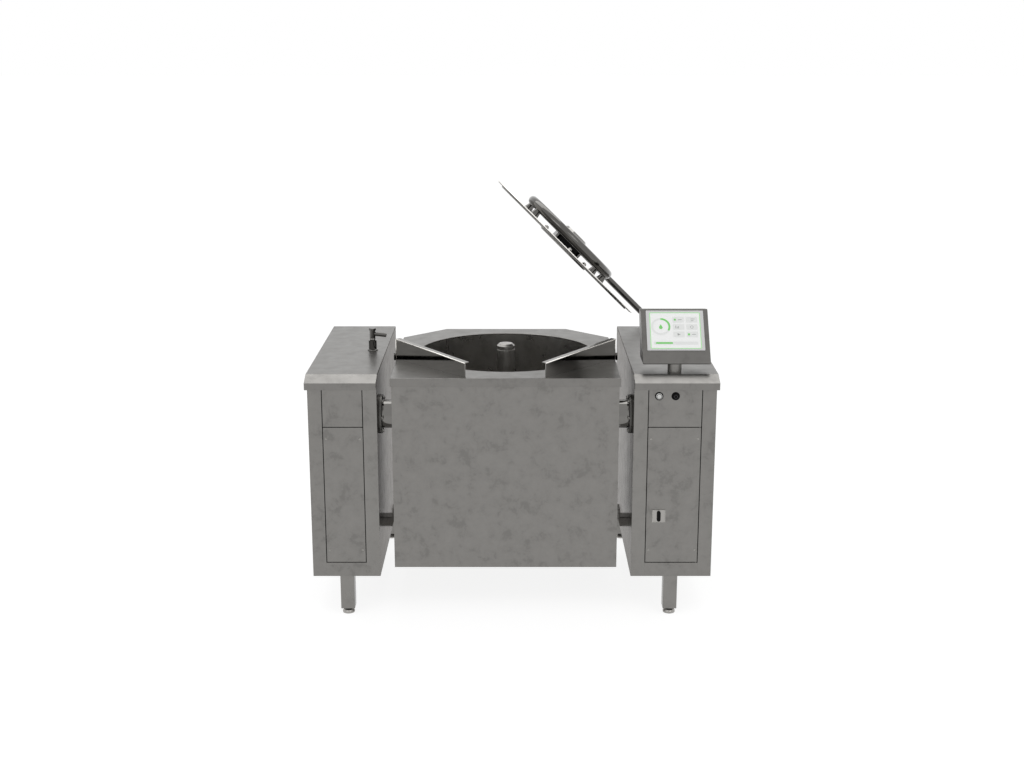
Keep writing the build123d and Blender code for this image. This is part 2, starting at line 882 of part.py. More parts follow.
with BuildPart() as scrapers:
    with BuildSketch(vessel_side):
        add(bowl_section(-scraper_clearance, plate_under))
        add(bowl_section(-anchor_gap, plate_under), mode=Mode.SUBTRACT)
        mirror(about=Plane.YZ)
        with Locations((0, (anchor_top + plate_under) / 2)):
            Rectangle(2 * vessel_radius, plate_under - anchor_top, mode=Mode.SUBTRACT)
        for row in range(1, scraper_count + 1):
            with Locations((0, anchor_top - row * scraper_pitch + scraper_gap / 2)):
                Rectangle(2 * vessel_radius, scraper_gap, mode=Mode.SUBTRACT)
        with Locations((0, dish_bottom)):
            Rectangle(2 * scraper_inner, 4 * scraper_gap, mode=Mode.SUBTRACT)
        for side in (-1, 1):
            with Locations((side * (vessel_radius + scraper_outer) / 2, (dish_bottom + last_gap) / 2)):
                Rectangle(
                    vessel_radius - scraper_outer,
                    last_gap - dish_bottom,
                    mode=Mode.SUBTRACT,
                )
    extrude(amount=scraper_thickness / 2, both=True)
save(scrapers.part, "scrapers")

# ---- splash guards ----
guard_run = sqrt((guard_back_x - guard_front_x) ** 2 + (guard_back_y - guard_front_y) ** 2)
guard_rise = guard_back_height - guard_front_height
guard_slant = sqrt(guard_run**2 + guard_rise**2)


def splash_guard(side):
    """Upright polished plate with a flange turned in along its sloping top edge."""
    run_x = side * (guard_back_x - guard_front_x) / guard_run
    run_y = (guard_back_y - guard_front_y) / guard_run
    base = Vector(kettle_x + side * guard_front_x, front + guard_front_y, kettle_rim_height)
    inward = Vector(-side * run_y, side * run_x, 0)
    upright = Plane(base, x_dir=(run_x, run_y, 0), z_dir=(run_y, -run_x, 0))
    top = Plane(
        base + Vector(0, 0, guard_front_height),
        x_dir=(run_x * guard_run, run_y * guard_run, guard_rise),
        z_dir=Vector(run_x * guard_run, run_y * guard_run, guard_rise).cross(side * inward),
    )
    with BuildPart() as piece:
        with BuildSketch(upright):
            with BuildLine():
                Polyline(
                    (0, 0),
                    (guard_run + 2 * guard_sheet, 0),
                    (guard_run + 2 * guard_sheet, -guard_tab_drop),
                    (guard_run + guard_tab, -guard_tab_drop),
                    (guard_run + guard_tab, guard_tab_rise),
                    (guard_run, guard_tab_rise),
                    (guard_run, guard_back_height),
                    (0, guard_front_height),
                    close=True,
                )
            make_face()
        extrude(amount=-side * guard_sheet)
        with BuildSketch(top):
            with Locations((guard_slant / 2, side * guard_flange / 2)):
                Rectangle(guard_slant, guard_flange)
        extrude(amount=-guard_sheet)
    return piece.part


save(splash_guard(-1), "left_splash_guard")
save(splash_guard(1), "right_splash_guard")

# ================= controls on the right column =================

button_x = (right_middle - button_pitch, right_middle)
button_bore = button_radius + button_clearance
block_depth = button_stem + button_travel + seat_gap + block_wall

# Front rings with the contact blocks behind the panel that the buttons press on.
with BuildPart() as button_bezels:
    with BuildSketch(Plane.XZ.offset(-front)):
        with Locations(*button_points):
            Circle(bezel_radius)
    extrude(amount=bezel_proud, taper=12)
    with BuildSketch(Plane.XZ.offset(-front - sheet)):
        with Locations(*button_points):
            Circle(bezel_radius)
    extrude(amount=-block_depth)
    with BuildSketch(Plane.XZ.offset(-front + bezel_proud)):
        with Locations(*button_points):
            Circle(button_bore)
    extrude(amount=block_wall - block_depth - sheet - bezel_proud, mode=Mode.SUBTRACT)
save(button_bezels.part, "button_bezels")


def push_button(x):
    """Round cap with a softened edge and a stem that reaches into its contact block."""
    with BuildPart() as piece:
        with BuildSketch(Plane.XZ.offset(-front + button_proud)):
            with Locations((x, button_level)):
                Circle(button_radius)
        extrude(amount=-button_proud - sheet - button_stem)
        fillet(piece.faces().sort_by(Axis.Y)[0].edges(), 0.1 * button_radius)
    return piece.part


save(push_button(button_x[0]), "start_button")
save(push_button(button_x[1]), "stop_button")

with BuildPart() as latch_plate:
    with BuildSketch(Plane.XZ.offset(-front)):
        with Locations((latch_x, latch_level)):
            RectangleRounded(latch_plate_size, latch_plate_size, latch_plate_round)
            Circle(latch_shaft_radius + running_clearance, mode=Mode.SUBTRACT)
    extrude(amount=latch_plate_thickness)
save(latch_plate.part, "latch_plate")

# Wing on the outside, round shaft through plate and door, cam behind the door sheet.
cam_front = sheet + seat_gap

with BuildPart() as latch_wing:
    with BuildSketch(Plane.XZ.offset(-front + latch_plate_thickness + seat_gap)):
        with Locations((latch_x, latch_level)):
            SlotOverall(wing_length, wing_width, rotation=90)
    extrude(amount=wing_proud - seat_gap)
    with BuildSketch(Plane.XZ.offset(-front + latch_plate_thickness + seat_gap)):
        with Locations((latch_x, latch_level)):
            Circle(latch_shaft_radius)
    extrude(amount=-latch_plate_thickness - 2 * seat_gap - sheet - cam_thickness)
    with BuildSketch(Plane.XZ.offset(-front - cam_front)):
        with Locations((latch_x, latch_level + (cam_reach - cam_width / 2) / 2)):
            SlotOverall(cam_reach + cam_width / 2, cam_width, rotation=90)
    extrude(amount=-cam_thickness)
save(latch_wing.part, "latch_wing")

# Control cabinet on the inside of the outer side.
with BuildPart() as control_cabinet:
    with BuildSketch(Plane.XY.offset(cabinet_bottom)):
        with Locations(
            (right_out - sheet - cabinet_width / 2, front + cabinet_setback + cabinet_depth / 2)
        ):
            Rectangle(cabinet_width, cabinet_depth)
    extrude(amount=cabinet_height)
    fillet(control_cabinet.edges().filter_by(Axis.Z).group_by(Axis.X)[0], 3 * sheet)
save(control_cabinet.part, "control_cabinet")

# ---- display on its post ----
display_x = right_middle + display_offset
lean_sin = sin(radians(display_lean))
lean_cos = cos(radians(display_lean))
face_top = (front + display_front + display_face * lean_sin, display_bottom + display_face * lean_cos)
face_plane = Plane(
    (display_x, front + display_front, display_bottom),
    x_dir=(1, 0, 0),
    z_dir=(0, -lean_cos, lean_sin),
)

with BuildPart() as display_post:
    with BuildSketch(Plane.XY.offset(column_height)):
        with Locations((right_middle + display_post_offset, front + display_post_back)):
            Circle(display_post_radius)
    extrude(amount=display_bottom - column_height)
save(display_post.part, "display_post")

with BuildPart() as display_housing:
    with BuildSketch(Plane.YZ.offset(display_x - display_width / 2)):
        with BuildLine():
            Polyline(
                (front + display_front, display_bottom),
                face_top,
                (face_top[0] + display_top_depth, face_top[1] - display_top_fall),
                (front + display_front + display_bottom_depth, display_bottom),
                close=True,
            )
        make_face()
    extrude(amount=display_width)
    fillet(display_housing.edges(), display_round)
    with BuildSketch(face_plane):
        with Locations((0, screen_low + screen_height / 2)):
            RectangleRounded(screen_width, screen_height, screen_round)
    extrude(amount=-screen_pocket, mode=Mode.SUBTRACT)
save(display_housing.part, "display_housing")

with BuildPart() as display_screen:
    with BuildSketch(face_plane.offset(-screen_pocket)):
        with Locations((0, screen_low + screen_height / 2)):
            RectangleRounded(screen_width, screen_height, screen_round)
    extrude(amount=screen_pocket + screen_proud)
    fillet(display_screen.faces().sort_by(Axis(face_plane.origin, face_plane.z_dir))[-1].edges(), 0.4 * screen_proud)
save(display_screen.part, "display_screen")

# ================= water tap on the left column =================

tap_x = left_in - tap_from_side
tap_y = front + tap_back
tap_top = column_height + tap_base_height

with BuildPart() as tap_post:
    with BuildSketch(Plane.XY.offset(column_height)):
        with Locations((tap_x, tap_y)):
            Circle(tap_base_radius)
    extrude(amount=tap_base_height)
    with BuildSketch(Plane.XY.offset(tap_top)):
        with Locations((tap_x, tap_y)):
            Circle(tap_pivot_radius)
    extrude(amount=tap_pivot_depth)
save(tap_post.part, "tap_post")

spout_plane = Plane(
    (tap_x, tap_y, tap_top + spout_level),
    x_dir=(0, 1, 0),
    z_dir=(spout_length, 0, -spout_drop),
)

with BuildPart() as tap_head:
    with BuildSketch(Plane.XY.offset(tap_top + seat_gap)):
        with Locations((tap_x, tap_y)):
            Circle(tap_neck_radius)
    extrude(amount=tap_neck_height - seat_gap)
    with BuildSketch(Plane.XY.offset(tap_top + tap_neck_height)):
        with Locations((tap_x, tap_y)):
            Circle(tap_cap_radius)
    extrude(amount=tap_cap_height)
    fillet(tap_head.faces().sort_by(Axis.Z)[-1].edges(), 0.25 * tap_cap_height)
    with BuildSketch(spout_plane):
        Circle(spout_radius)
    extrude(amount=spout_length)
    with BuildSketch(spout_plane.offset(tap_neck_radius + spout_radius)):
        Circle(spout_bore)
    extrude(amount=spout_length, mode=Mode.SUBTRACT)
    with BuildSketch(Plane.XY.offset(tap_top)):
        with Locations((tap_x, tap_y)):
            Circle(tap_pivot_radius + running_clearance)
    extrude(amount=tap_pivot_depth + seat_gap, mode=Mode.SUBTRACT)
save(tap_head.part, "tap_head")

# ================= lid, carrier and hinge =================

# Closed, the lid lies on the kettle. It stands open by a turn about the hinge behind the column.
along = Vector(turn_x, turn_y, 0)
hinge_dir = Vector(-turn_y, turn_x, 0)
up = Vector(0, 0, 1)
closed_center = Vector(kettle_x, vessel_y, kettle_rim_height + lid_level)
hinge_point = closed_center + along * hinge_reach - up * hinge_drop
open_sin = sin(radians(lid_open))
open_cos = cos(radians(lid_open))
lid_along = along * open_cos - up * open_sin
lid_normal = along * open_sin + up * open_cos
lid_center = hinge_point - lid_along * hinge_reach + lid_normal * hinge_drop
lid_plane = Plane(lid_center, x_dir=lid_along, z_dir=lid_normal)
lid_side = Plane(lid_center, x_dir=lid_along, z_dir=-1 * hinge_dir)
lid_axis = Axis(lid_center, lid_normal)
ring_center = lid_center + lid_along * ring_shift
disc_top = lid_thickness / 2
disc_under = -lid_thickness / 2
plug_under = disc_under - plug_depth
hub_bore = hub_radius - hub_wall

with BuildPart() as lid_disc:
    with BuildSketch(lid_plane.offset(disc_under)):
        Circle(lid_radius)
        Circle(hub_bore, mode=Mode.SUBTRACT)
    extrude(amount=lid_thickness)
save(lid_disc.part, "lid_disc")

# Shallow sheet pan that drops into the kettle's opening.
with BuildPart() as lid_pan:
    with BuildSketch(lid_plane.offset(disc_under)):
        Circle(plug_radius)
    extrude(amount=-plug_depth)
    chamfer(lid_pan.faces().sort_by(lid_axis)[0].edges(), pan_bevel)
    with BuildSketch(lid_plane.offset(disc_under)):
        Circle(plug_radius - sheet)
        Circle(hub_bore + sheet, mode=Mode.SUBTRACT)
    extrude(amount=sheet - plug_depth, mode=Mode.SUBTRACT)
    with BuildSketch(lid_plane.offset(disc_under)):
        Circle(hub_bore)
    extrude(amount=-plug_depth, mode=Mode.SUBTRACT)
save(lid_pan.part, "lid_pan")

with BuildPart() as lid_seal:
    with BuildSketch(lid_plane.offset(disc_under)):
        Circle(plug_radius + seal_width)
        Circle(plug_radius, mode=Mode.SUBTRACT)
    extrude(amount=seal_gap + disc_top - lid_level)
save(lid_seal.part, "lid_seal")

with BuildPart() as hub_plate:
    with BuildSketch(lid_plane.offset(plug_under)):
        Circle(hub_plate_radius)
        Circle(hub_bore, mode=Mode.SUBTRACT)
    extrude(amount=-hub_plate_thickness, taper=20)
save(hub_plate.part, "hub_plate")

with BuildPart() as hub_nuts:
    with BuildSketch(lid_plane.offset(disc_top)):
        with PolarLocations(hub_nut_pitch_radius, hub_nut_count):
            RegularPolygon(hub_nut_radius, 6)
    extrude(amount=hub_nut_height)
    with BuildSketch(lid_plane.offset(disc_top + hub_nut_height)):
        with PolarLocations(hub_nut_pitch_radius, hub_nut_count):
            Circle(0.75 * hub_nut_radius)
    extrude(amount=0.6 * hub_nut_height, taper=30)
save(hub_nuts.part, "hub_nuts")

# Cover over the mixer post: a plastic sleeve with a steel cap.
with BuildPart() as hub_cover:
    with BuildSketch(lid_plane.offset(disc_top)):
        Circle(hub_radius)
        Circle(hub_bore, mode=Mode.SUBTRACT)
    extrude(amount=hub_height)
save(hub_cover.part, "hub_cover")

with BuildPart() as hub_cap:
    with BuildSketch(lid_plane.offset(disc_top + hub_height)):
        Circle(hub_radius)
    extrude(amount=hub_cap_height)
    chamfer(hub_cap.faces().sort_by(lid_axis)[-1].edges(), hub_cap_bevel)
save(hub_cap.part, "hub_cap")

arm_end = (
    ring_shift + ring_radius * cos(radians(arm_join_angle)),
    ring_radius * sin(radians(arm_join_angle)),
)
lever_top = arm_level + hinge_drop

# Welded carrier: ring, spokes, stand-offs and the arm with its hinge lever.
with BuildPart() as lid_carrier:
    with BuildSketch(Plane(ring_center, x_dir=lid_along, z_dir=-1 * hinge_dir)):
        with Locations((ring_radius, ring_level)):
            RegularPolygon(ring_tube, ring_sides)
    revolve(axis=Axis(ring_center, lid_normal))
    for side in (-1, 1):
        spoke_end = ring_shift + side * ring_radius
        clip_plane = Plane(
            lid_center + lid_along * side * hub_radius,
            x_dir=hinge_dir * side,
            z_dir=lid_along * side,
        )
        with BuildSketch(clip_plane):
            with Locations((0, (disc_top + ring_level) / 2)):
                Rectangle(hub_clip_width, ring_level - disc_top)
        extrude(amount=hub_clip_thickness)
        with BuildSketch(clip_plane):
            with Locations((0, spoke_level)):
                Circle(spoke_radius)
        extrude(amount=side * spoke_end - hub_radius - ring_tube / 2)
        for turn in (-cone_angle, cone_angle):
            foot = (
                ring_shift + side * ring_radius * cos(radians(turn)),
                ring_radius * sin(radians(turn)),
            )
            with BuildSketch(lid_plane.offset(disc_top)):
                with Locations(foot):
                    Circle(cone_base)
            with BuildSketch(lid_plane.offset(ring_level)):
                with Locations(foot):
                    Circle(cone_top)
            loft()
    with BuildLine(lid_plane.offset(arm_level)) as arm_path:
        FilletPolyline(
            (hinge_reach + lever_width / 2, hinge_back),
            (arm_straight_end, hinge_back),
            arm_end,
            radius=arm_bend,
        )
    with BuildSketch(Plane(arm_path.line @ 0, z_dir=arm_path.line % 0)):
        Circle(arm_radius)
    sweep()
    with BuildSketch(lid_side.offset(lever_thickness / 2 - hinge_back)):
        with Locations((hinge_reach, lever_top / 2 - hinge_drop)):
            Rectangle(lever_width, lever_top)
        with Locations((hinge_reach, -hinge_drop)):
            Circle(lever_hub_radius)
    extrude(amount=-lever_thickness)
    with BuildSketch(lid_side.offset(lever_thickness / 2 - hinge_back)):
        with Locations((hinge_reach, -hinge_drop)):
            Circle(sleeve_radius + running_clearance)
    extrude(amount=-lever_thickness, mode=Mode.SUBTRACT)
save(lid_carrier.part, "lid_carrier")

# Stepped shaft between the bracket's ears: it turns with the lift, and the lever turns on it.
shaft_plane = Plane(hinge_point + hinge_dir * hinge_back, x_dir=along, z_dir=-1 * hinge_dir)

with BuildPart() as lid_hinge_shaft:
    with BuildSketch(shaft_plane):
        Circle(sleeve_radius)
    extrude(amount=ear_inside - seat_gap, both=True)
    with BuildSketch(shaft_plane):
        Circle(hinge_pin)
    extrude(amount=ear_outside, both=True)
save(lid_hinge_shaft.part, "lid_hinge_shaft")

bracket_reach = hinge_back + ear_outside - (back - vessel_y - hinge_reach * turn_y) / turn_x

with BuildPart() as lid_hinge_bracket:
    for way in (-1, 1):
        with BuildSketch(shaft_plane.offset(way * ear_inside)):
            Circle(ear_radius)
            with Locations((0, -bracket_drop / 2)):
                Rectangle(2 * ear_radius, bracket_drop)
            Circle(hinge_pin + running_clearance, mode=Mode.SUBTRACT)
        extrude(amount=way * ear_thickness)
    with BuildSketch(shaft_plane.offset(-ear_outside)):
        with Locations((0, -bracket_drop)):
            Rectangle(2 * ear_radius, 2 * ear_thickness)
    extrude(amount=bracket_reach)
    with BuildSketch(Plane.XZ.offset(-back)):
        with Locations((hinge_point.X - turn_y * hinge_back, hinge_point.Z - bracket_drop)):
            RectangleRounded(bracket_plate_width, bracket_plate_height, bracket_thickness)
    extrude(amount=-bracket_thickness)
    with BuildSketch(Plane.XZ.offset(-back)):
        with Locations((hinge_point.X - turn_y * hinge_back, hinge_point.Z - bracket_drop)):
            Rectangle(2 * bracket_plate_width, 2 * bracket_plate_height)
    extrude(amount=bracket_reach, mode=Mode.SUBTRACT)
save(lid_hinge_bracket.part, "lid_hinge_bracket")

# ================= services at the back =================

stub_points = [
    (left_middle - stub_pitch, stub_level),
    (left_middle, stub_level),
    (left_middle + stub_pitch, stub_level),
]

with BuildPart() as pipe_stubs:
    with BuildSketch(Plane.XZ.offset(-back)):
        with Locations(*stub_points):
            Circle(stub_flange_radius)
    extrude(amount=-stub_flange)
    with BuildSketch(Plane.XZ.offset(-back - stub_flange)):
        with Locations(*stub_points):
            Circle(stub_radius)
    extrude(amount=-stub_length)
    with BuildSketch(Plane.XZ.offset(-back - stub_flange)):
        with Locations(*stub_points):
            Circle(stub_bore)
    extrude(amount=-stub_length, mode=Mode.SUBTRACT)
save(pipe_stubs.part, "pipe_stubs")

with BuildPart() as cable_gland:
    with BuildSketch(Plane.XZ.offset(-back)):
        with Locations((right_middle, gland_level)):
            RegularPolygon(gland_radius, 6)
    extrude(amount=-gland_length / 2)
    with BuildSketch(Plane.XZ.offset(-back - gland_length / 2)):
        with Locations((right_middle, gland_level)):
            Circle(0.8 * gland_radius)
    extrude(amount=-gland_length / 2, taper=10)
    with BuildSketch(Plane.XZ.offset(-back - gland_length)):
        with Locations((right_middle, gland_level)):
            Circle(gland_bore)
    extrude(amount=0.8 * gland_length, mode=Mode.SUBTRACT)
save(cable_gland.part, "cable_gland")
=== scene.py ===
"""Looks of the tilting steam jacketed kettle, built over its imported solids. Metres, row frame."""
import json
import math

import bmesh
import bpy
from mathutils import Matrix, Vector


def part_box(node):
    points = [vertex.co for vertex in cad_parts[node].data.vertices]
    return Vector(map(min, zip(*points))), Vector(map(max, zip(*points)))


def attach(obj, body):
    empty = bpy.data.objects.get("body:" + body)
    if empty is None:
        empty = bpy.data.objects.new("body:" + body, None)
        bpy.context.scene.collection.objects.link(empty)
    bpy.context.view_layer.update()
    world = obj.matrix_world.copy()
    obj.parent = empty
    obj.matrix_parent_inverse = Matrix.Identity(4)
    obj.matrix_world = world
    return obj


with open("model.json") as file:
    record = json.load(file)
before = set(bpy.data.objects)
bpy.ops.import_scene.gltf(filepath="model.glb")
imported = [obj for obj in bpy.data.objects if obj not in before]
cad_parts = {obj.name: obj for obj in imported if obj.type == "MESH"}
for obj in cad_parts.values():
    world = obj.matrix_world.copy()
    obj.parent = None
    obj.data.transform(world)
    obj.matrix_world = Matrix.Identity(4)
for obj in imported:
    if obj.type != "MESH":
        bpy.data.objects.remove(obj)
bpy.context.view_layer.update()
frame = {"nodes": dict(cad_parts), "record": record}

X, Y, Z = Vector((1, 0, 0)), Vector((0, 1, 0)), Vector((0, 0, 1))
NODES = frame["nodes"]


def middle(node):
    """Centre of a CAD node's box."""
    low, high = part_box(node)
    return (low + high) / 2


# ---------------------------------------------------------------- materials

def new_material(name):
    """An empty Principled material: (material, its tree, the shader)."""
    material = bpy.data.materials.new(name)
    material.use_nodes = True
    tree = material.node_tree
    return material, tree, tree.nodes["Principled BSDF"]


def noise(tree, scale, detail=4.0, rough=0.55, distortion=0.0, stretch=(1, 1, 1)):
    """Noise in the object's own coordinates, stretched along its axes."""
    where = tree.nodes.new("ShaderNodeTexCoord")
    mapping = tree.nodes.new("ShaderNodeMapping")
    mapping.inputs["Scale"].default_value = stretch
    tree.links.new(where.outputs["Object"], mapping.inputs["Vector"])
    node = tree.nodes.new("ShaderNodeTexNoise")
    node.inputs["Scale"].default_value = scale
    node.inputs["Detail"].default_value = detail
    node.inputs["Roughness"].default_value = rough
    node.inputs["Distortion"].default_value = distortion
    tree.links.new(mapping.outputs["Vector"], node.inputs["Vector"])
    return node.outputs["Fac"]


def ramp(tree, factor, stops):
    """Colour ramp with (place, colour) stops."""
    node = tree.nodes.new("ShaderNodeValToRGB")
    elements = node.color_ramp.elements
    while len(elements) < len(stops):
        elements.new(0.5)
    for element, (place, color) in zip(elements, stops):
        element.position = place
        element.color = (*color, 1.0)
    tree.links.new(factor, node.inputs["Fac"])
    return node.outputs["Color"]


# Most values of a noise lie between these two.
NOISE_LOW, NOISE_HIGH = 0.3, 0.7
BEVEL_SAMPLES = 4


def spread(tree, factor, low, high):
    """Maps the middle of a noise to a range of values."""
    node = tree.nodes.new("ShaderNodeMapRange")
    node.inputs["From Min"].default_value = NOISE_LOW
    node.inputs["From Max"].default_value = NOISE_HIGH
    node.inputs["To Min"].default_value = low
    node.inputs["To Max"].default_value = high
    tree.links.new(factor, node.inputs["Value"])
    return node.outputs["Result"]


def relief(tree, shader, height, strength, distance, edge=0.0):
    """Bump on the shader's normal, over edges softened by a small radius."""
    bump = tree.nodes.new("ShaderNodeBump")
    bump.inputs["Strength"].default_value = strength
    bump.inputs["Distance"].default_value = distance
    tree.links.new(height, bump.inputs["Height"])
    if edge:
        bevel = tree.nodes.new("ShaderNodeBevel")
        bevel.samples = BEVEL_SAMPLES
        bevel.inputs["Radius"].default_value = edge
        tree.links.new(bevel.outputs["Normal"], bump.inputs["Normal"])
    tree.links.new(bump.outputs["Normal"], shader.inputs["Normal"])


def tinted(color, share):
    """A colour made darker or lighter."""
    return tuple(c * share for c in color)


# A grazing reflection dimmed as painted shade keeps this share of its green and the square of it of its
# blue.
EDGE_WARMTH = 0.93


def steel(name, color, rough, stretch, clouds=0.07, edge=0.0012, grain=0.10, rise=1.0):
    """Stainless sheet: soft darker clouds, fine brushing along one way and uneven gloss.

    A rise under 1 dims what the sheet reflects at a grazing angle, which paints shade into the sheet.
    """
    material, tree, shader = new_material(name)
    shader.inputs["Metallic"].default_value = 1.0
    warm = EDGE_WARMTH if rise < 1.0 else 1.0
    shader.inputs["Specular Tint"].default_value = (rise, rise * warm, rise * warm ** 2, 1.0)
    cloud = noise(tree, scale=22.0, detail=6.0, rough=0.68, distortion=0.25)
    stops = (
        (0.36, tinted(color, 1.0 - 2.4 * clouds)),
        (0.44, tinted(color, 1.0 - 0.6 * clouds)),
        (0.52, color),
        (0.70, tinted(color, 1.0 + 0.8 * clouds)),
    )
    tree.links.new(ramp(tree, cloud, stops), shader.inputs["Base Color"])
    fine = noise(tree, scale=1.0, detail=3.0, rough=0.6, stretch=stretch)
    gloss = noise(tree, scale=21.0, detail=3.0, rough=0.5, distortion=0.4)
    tree.links.new(spread(tree, gloss, rough * 0.88, rough * 1.14), shader.inputs["Roughness"])
    relief(tree, shader, fine, strength=grain, distance=0.0006, edge=edge)
    return material


WIPED = (60, 60, 18)


def polished(name, color, rough, clouds=0.05, wiping=0.03):
    """Polished stainless: nearly a mirror, with faint wiping marks."""
    material, tree, shader = new_material(name)
    shader.inputs["Metallic"].default_value = 1.0
    cloud = noise(tree, scale=9.0, detail=3.0, rough=0.5, distortion=0.6)
    stops = ((0.3, tinted(color, 1.0 - clouds)), (0.7, tinted(color, 1.0 + clouds)))
    tree.links.new(ramp(tree, cloud, stops), shader.inputs["Base Color"])
    smear = noise(tree, scale=1.0, detail=4.0, rough=0.6, distortion=0.3, stretch=WIPED)
    tree.links.new(spread(tree, smear, rough * 0.6, rough * 1.6), shader.inputs["Roughness"])
    relief(tree, shader, smear, strength=wiping, distance=0.0004, edge=0.0008)
    return material


def plastic(name, color, rough, texture=900.0, depth=0.12, coat=0.0, shine=0.5):
    """Moulded plastic with a fine spark-eroded surface and small changes of tone."""
    material, tree, shader = new_material(name)
    tone = noise(tree, scale=30.0, detail=3.0)
    stops = ((0.3, tinted(color, 0.86)), (0.7, tinted(color, 1.08)))
    tree.links.new(ramp(tree, tone, stops), shader.inputs["Base Color"])
    skin = noise(tree, scale=texture, detail=2.0)
    tree.links.new(spread(tree, skin, rough * 0.85, rough * 1.15), shader.inputs["Roughness"])
    shader.inputs["Coat Weight"].default_value = coat
    shader.inputs["Specular IOR Level"].default_value = shine
    relief(tree, shader, skin, strength=depth, distance=0.0002)
    return material


def lit(name, color, glow):
    """Smooth lit screen: an even tone with a faint dust in its gloss."""
    material, tree, shader = new_material(name)
    tone = noise(tree, scale=40.0, detail=2.0)
    stops = ((0.3, tinted(color, 0.985)), (0.7, color))
    face = ramp(tree, tone, stops)
    tree.links.new(face, shader.inputs["Base Color"])
    tree.links.new(face, shader.inputs["Emission Color"])
    shader.inputs["Emission Strength"].default_value = glow
    dust = noise(tree, scale=300.0, detail=2.0)
    tree.links.new(spread(tree, dust, 0.30, 0.36), shader.inputs["Roughness"])
    return material


def paint(name, color, rough):
    """Sprayed enamel with orange peel and a little grime in its tone."""
    material, tree, shader = new_material(name)
    grime = noise(tree, scale=16.0, detail=5.0, rough=0.65, distortion=0.8)
    stops = ((0.34, tinted(color, 0.78)), (0.5, color), (0.75, tinted(color, 1.06)))
    tree.links.new(ramp(tree, grime, stops), shader.inputs["Base Color"])
    peel = noise(tree, scale=420.0, detail=2.0)
    tree.links.new(spread(tree, peel, rough * 0.9, rough * 1.1), shader.inputs["Roughness"])
    relief(tree, shader, peel, strength=0.18, distance=0.0003, edge=0.0012)
    return material


STEEL = (0.212, 0.206, 0.196)
# How finely the brushing is drawn along each axis of the part.
UPRIGHT = (420, 420, 9)
CROSSWISE = (9, 420, 420)
TURNED, THREADED, WELDED = (700, 700, 700), (300, 300, 300), (900, 900, 900)


def shade(share):
    """The sheet's colour, darker or lighter."""
    return tinted(STEEL, share)


sheet_steel = steel("sheet_steel", STEEL, rough=0.33, stretch=UPRIGHT)
# The tops take a copy of the sheet at 0.94 of its colour: painted shade on the top faces.
shaded_top_steel = steel("shaded_top_steel", shade(0.94), rough=0.33, stretch=CROSSWISE, clouds=0.05, grain=0.02)
bowl_steel = steel("bowl_steel", shade(1.9), rough=0.30, stretch=CROSSWISE, clouds=0.05)
# The inner sides of the columns reflect less at a grazing angle: painted shade in the gap between the
# columns and the kettle.
shaded_inner_steel = steel("shaded_inner_steel", STEEL, rough=0.17, stretch=UPRIGHT, clouds=0.05, grain=0.04,
                    rise=0.24)
post_steel = steel("post_steel", shade(1.9), rough=0.30, stretch=CROSSWISE, clouds=0.05)
jacket_steel = steel("jacket_steel", shade(0.85), rough=0.42, stretch=CROSSWISE, clouds=0.10)
dark_steel = steel("dark_steel", shade(0.74), rough=0.36, stretch=CROSSWISE, clouds=0.08)
housing_steel = steel("housing_steel", shade(0.72), rough=0.36, stretch=CROSSWISE, clouds=0.05)
leg_steel = steel("leg_steel", shade(1.08), rough=0.30, stretch=UPRIGHT, clouds=0.04)
foot_steel = steel("foot_steel", shade(1.7), rough=0.30, stretch=TURNED, clouds=0.04)
mirror_steel = polished("mirror_steel", shade(1.25), rough=0.07, wiping=0.0)
chrome = polished("chrome", shade(0.55), rough=0.05, wiping=0.0)
trunnion_steel = polished("trunnion_steel", shade(0.8), rough=0.07, wiping=0.0)
# Nearly white steel for thin beads on the edges of the lid and the guards: painted highlight.
highlight_steel = polished("highlight_steel", shade(4.6), rough=0.30)
bright_steel = polished("bright_steel", shade(1.6), rough=0.16)
# Darker steel for the threads and the screw sockets; in the sockets its darkness is painted shade.
thread_steel = steel("thread_steel", shade(0.45), rough=0.40, stretch=THREADED, edge=0.0004)
weld_steel = steel("weld_steel", shade(1.2), rough=0.30, stretch=WELDED, clouds=0.12, edge=0.0004)
drive_paint = paint("drive_paint", (0.052, 0.060, 0.069), rough=0.42)
cabinet_paint = paint("cabinet_paint", (0.44, 0.44, 0.42), rough=0.45)
black_plastic = plastic("black_plastic", (0.003, 0.003, 0.003), rough=0.55, shine=0.12)
seal_rubber = plastic("seal_rubber", (0.20, 0.20, 0.19), rough=0.60, texture=500.0, depth=0.25)
# Near black, for the strips in the panel gaps that stand for the shade there: painted shade.
gap_shade_black = plastic("gap_shade_black", (0.004, 0.004, 0.004), rough=0.80, texture=500.0, depth=0.25,
                        shine=0.1)
light_plastic = plastic("light_plastic", (0.56, 0.56, 0.54), rough=0.30, texture=700.0, depth=0.06,
                        coat=0.4)
ring_gray = plastic("ring_gray", (0.16, 0.16, 0.16), rough=0.40)
scraper_plastic = plastic("scraper_plastic", (0.66, 0.66, 0.62), rough=0.46)

LENS_GLOW, RIM_GLOW, SCREEN_GLOW = 0.16, 0.12, 0.42
button_lens = lit("button_lens", (0.80, 0.80, 0.78), LENS_GLOW)
screen_rim = lit("screen_rim", (0.72, 0.72, 0.72), RIM_GLOW)
screen_pane = lit("screen_pane", (0.76, 0.765, 0.76), SCREEN_GLOW)
screen_tile = lit("screen_tile", (0.66, 0.67, 0.66), SCREEN_GLOW)
screen_green = lit("screen_green", (0.37, 0.69, 0.34), SCREEN_GLOW)
screen_leaf = lit("screen_leaf", (0.17, 0.52, 0.14), SCREEN_GLOW)
screen_ink = lit("screen_ink", (0.30, 0.31, 0.30), SCREEN_GLOW)

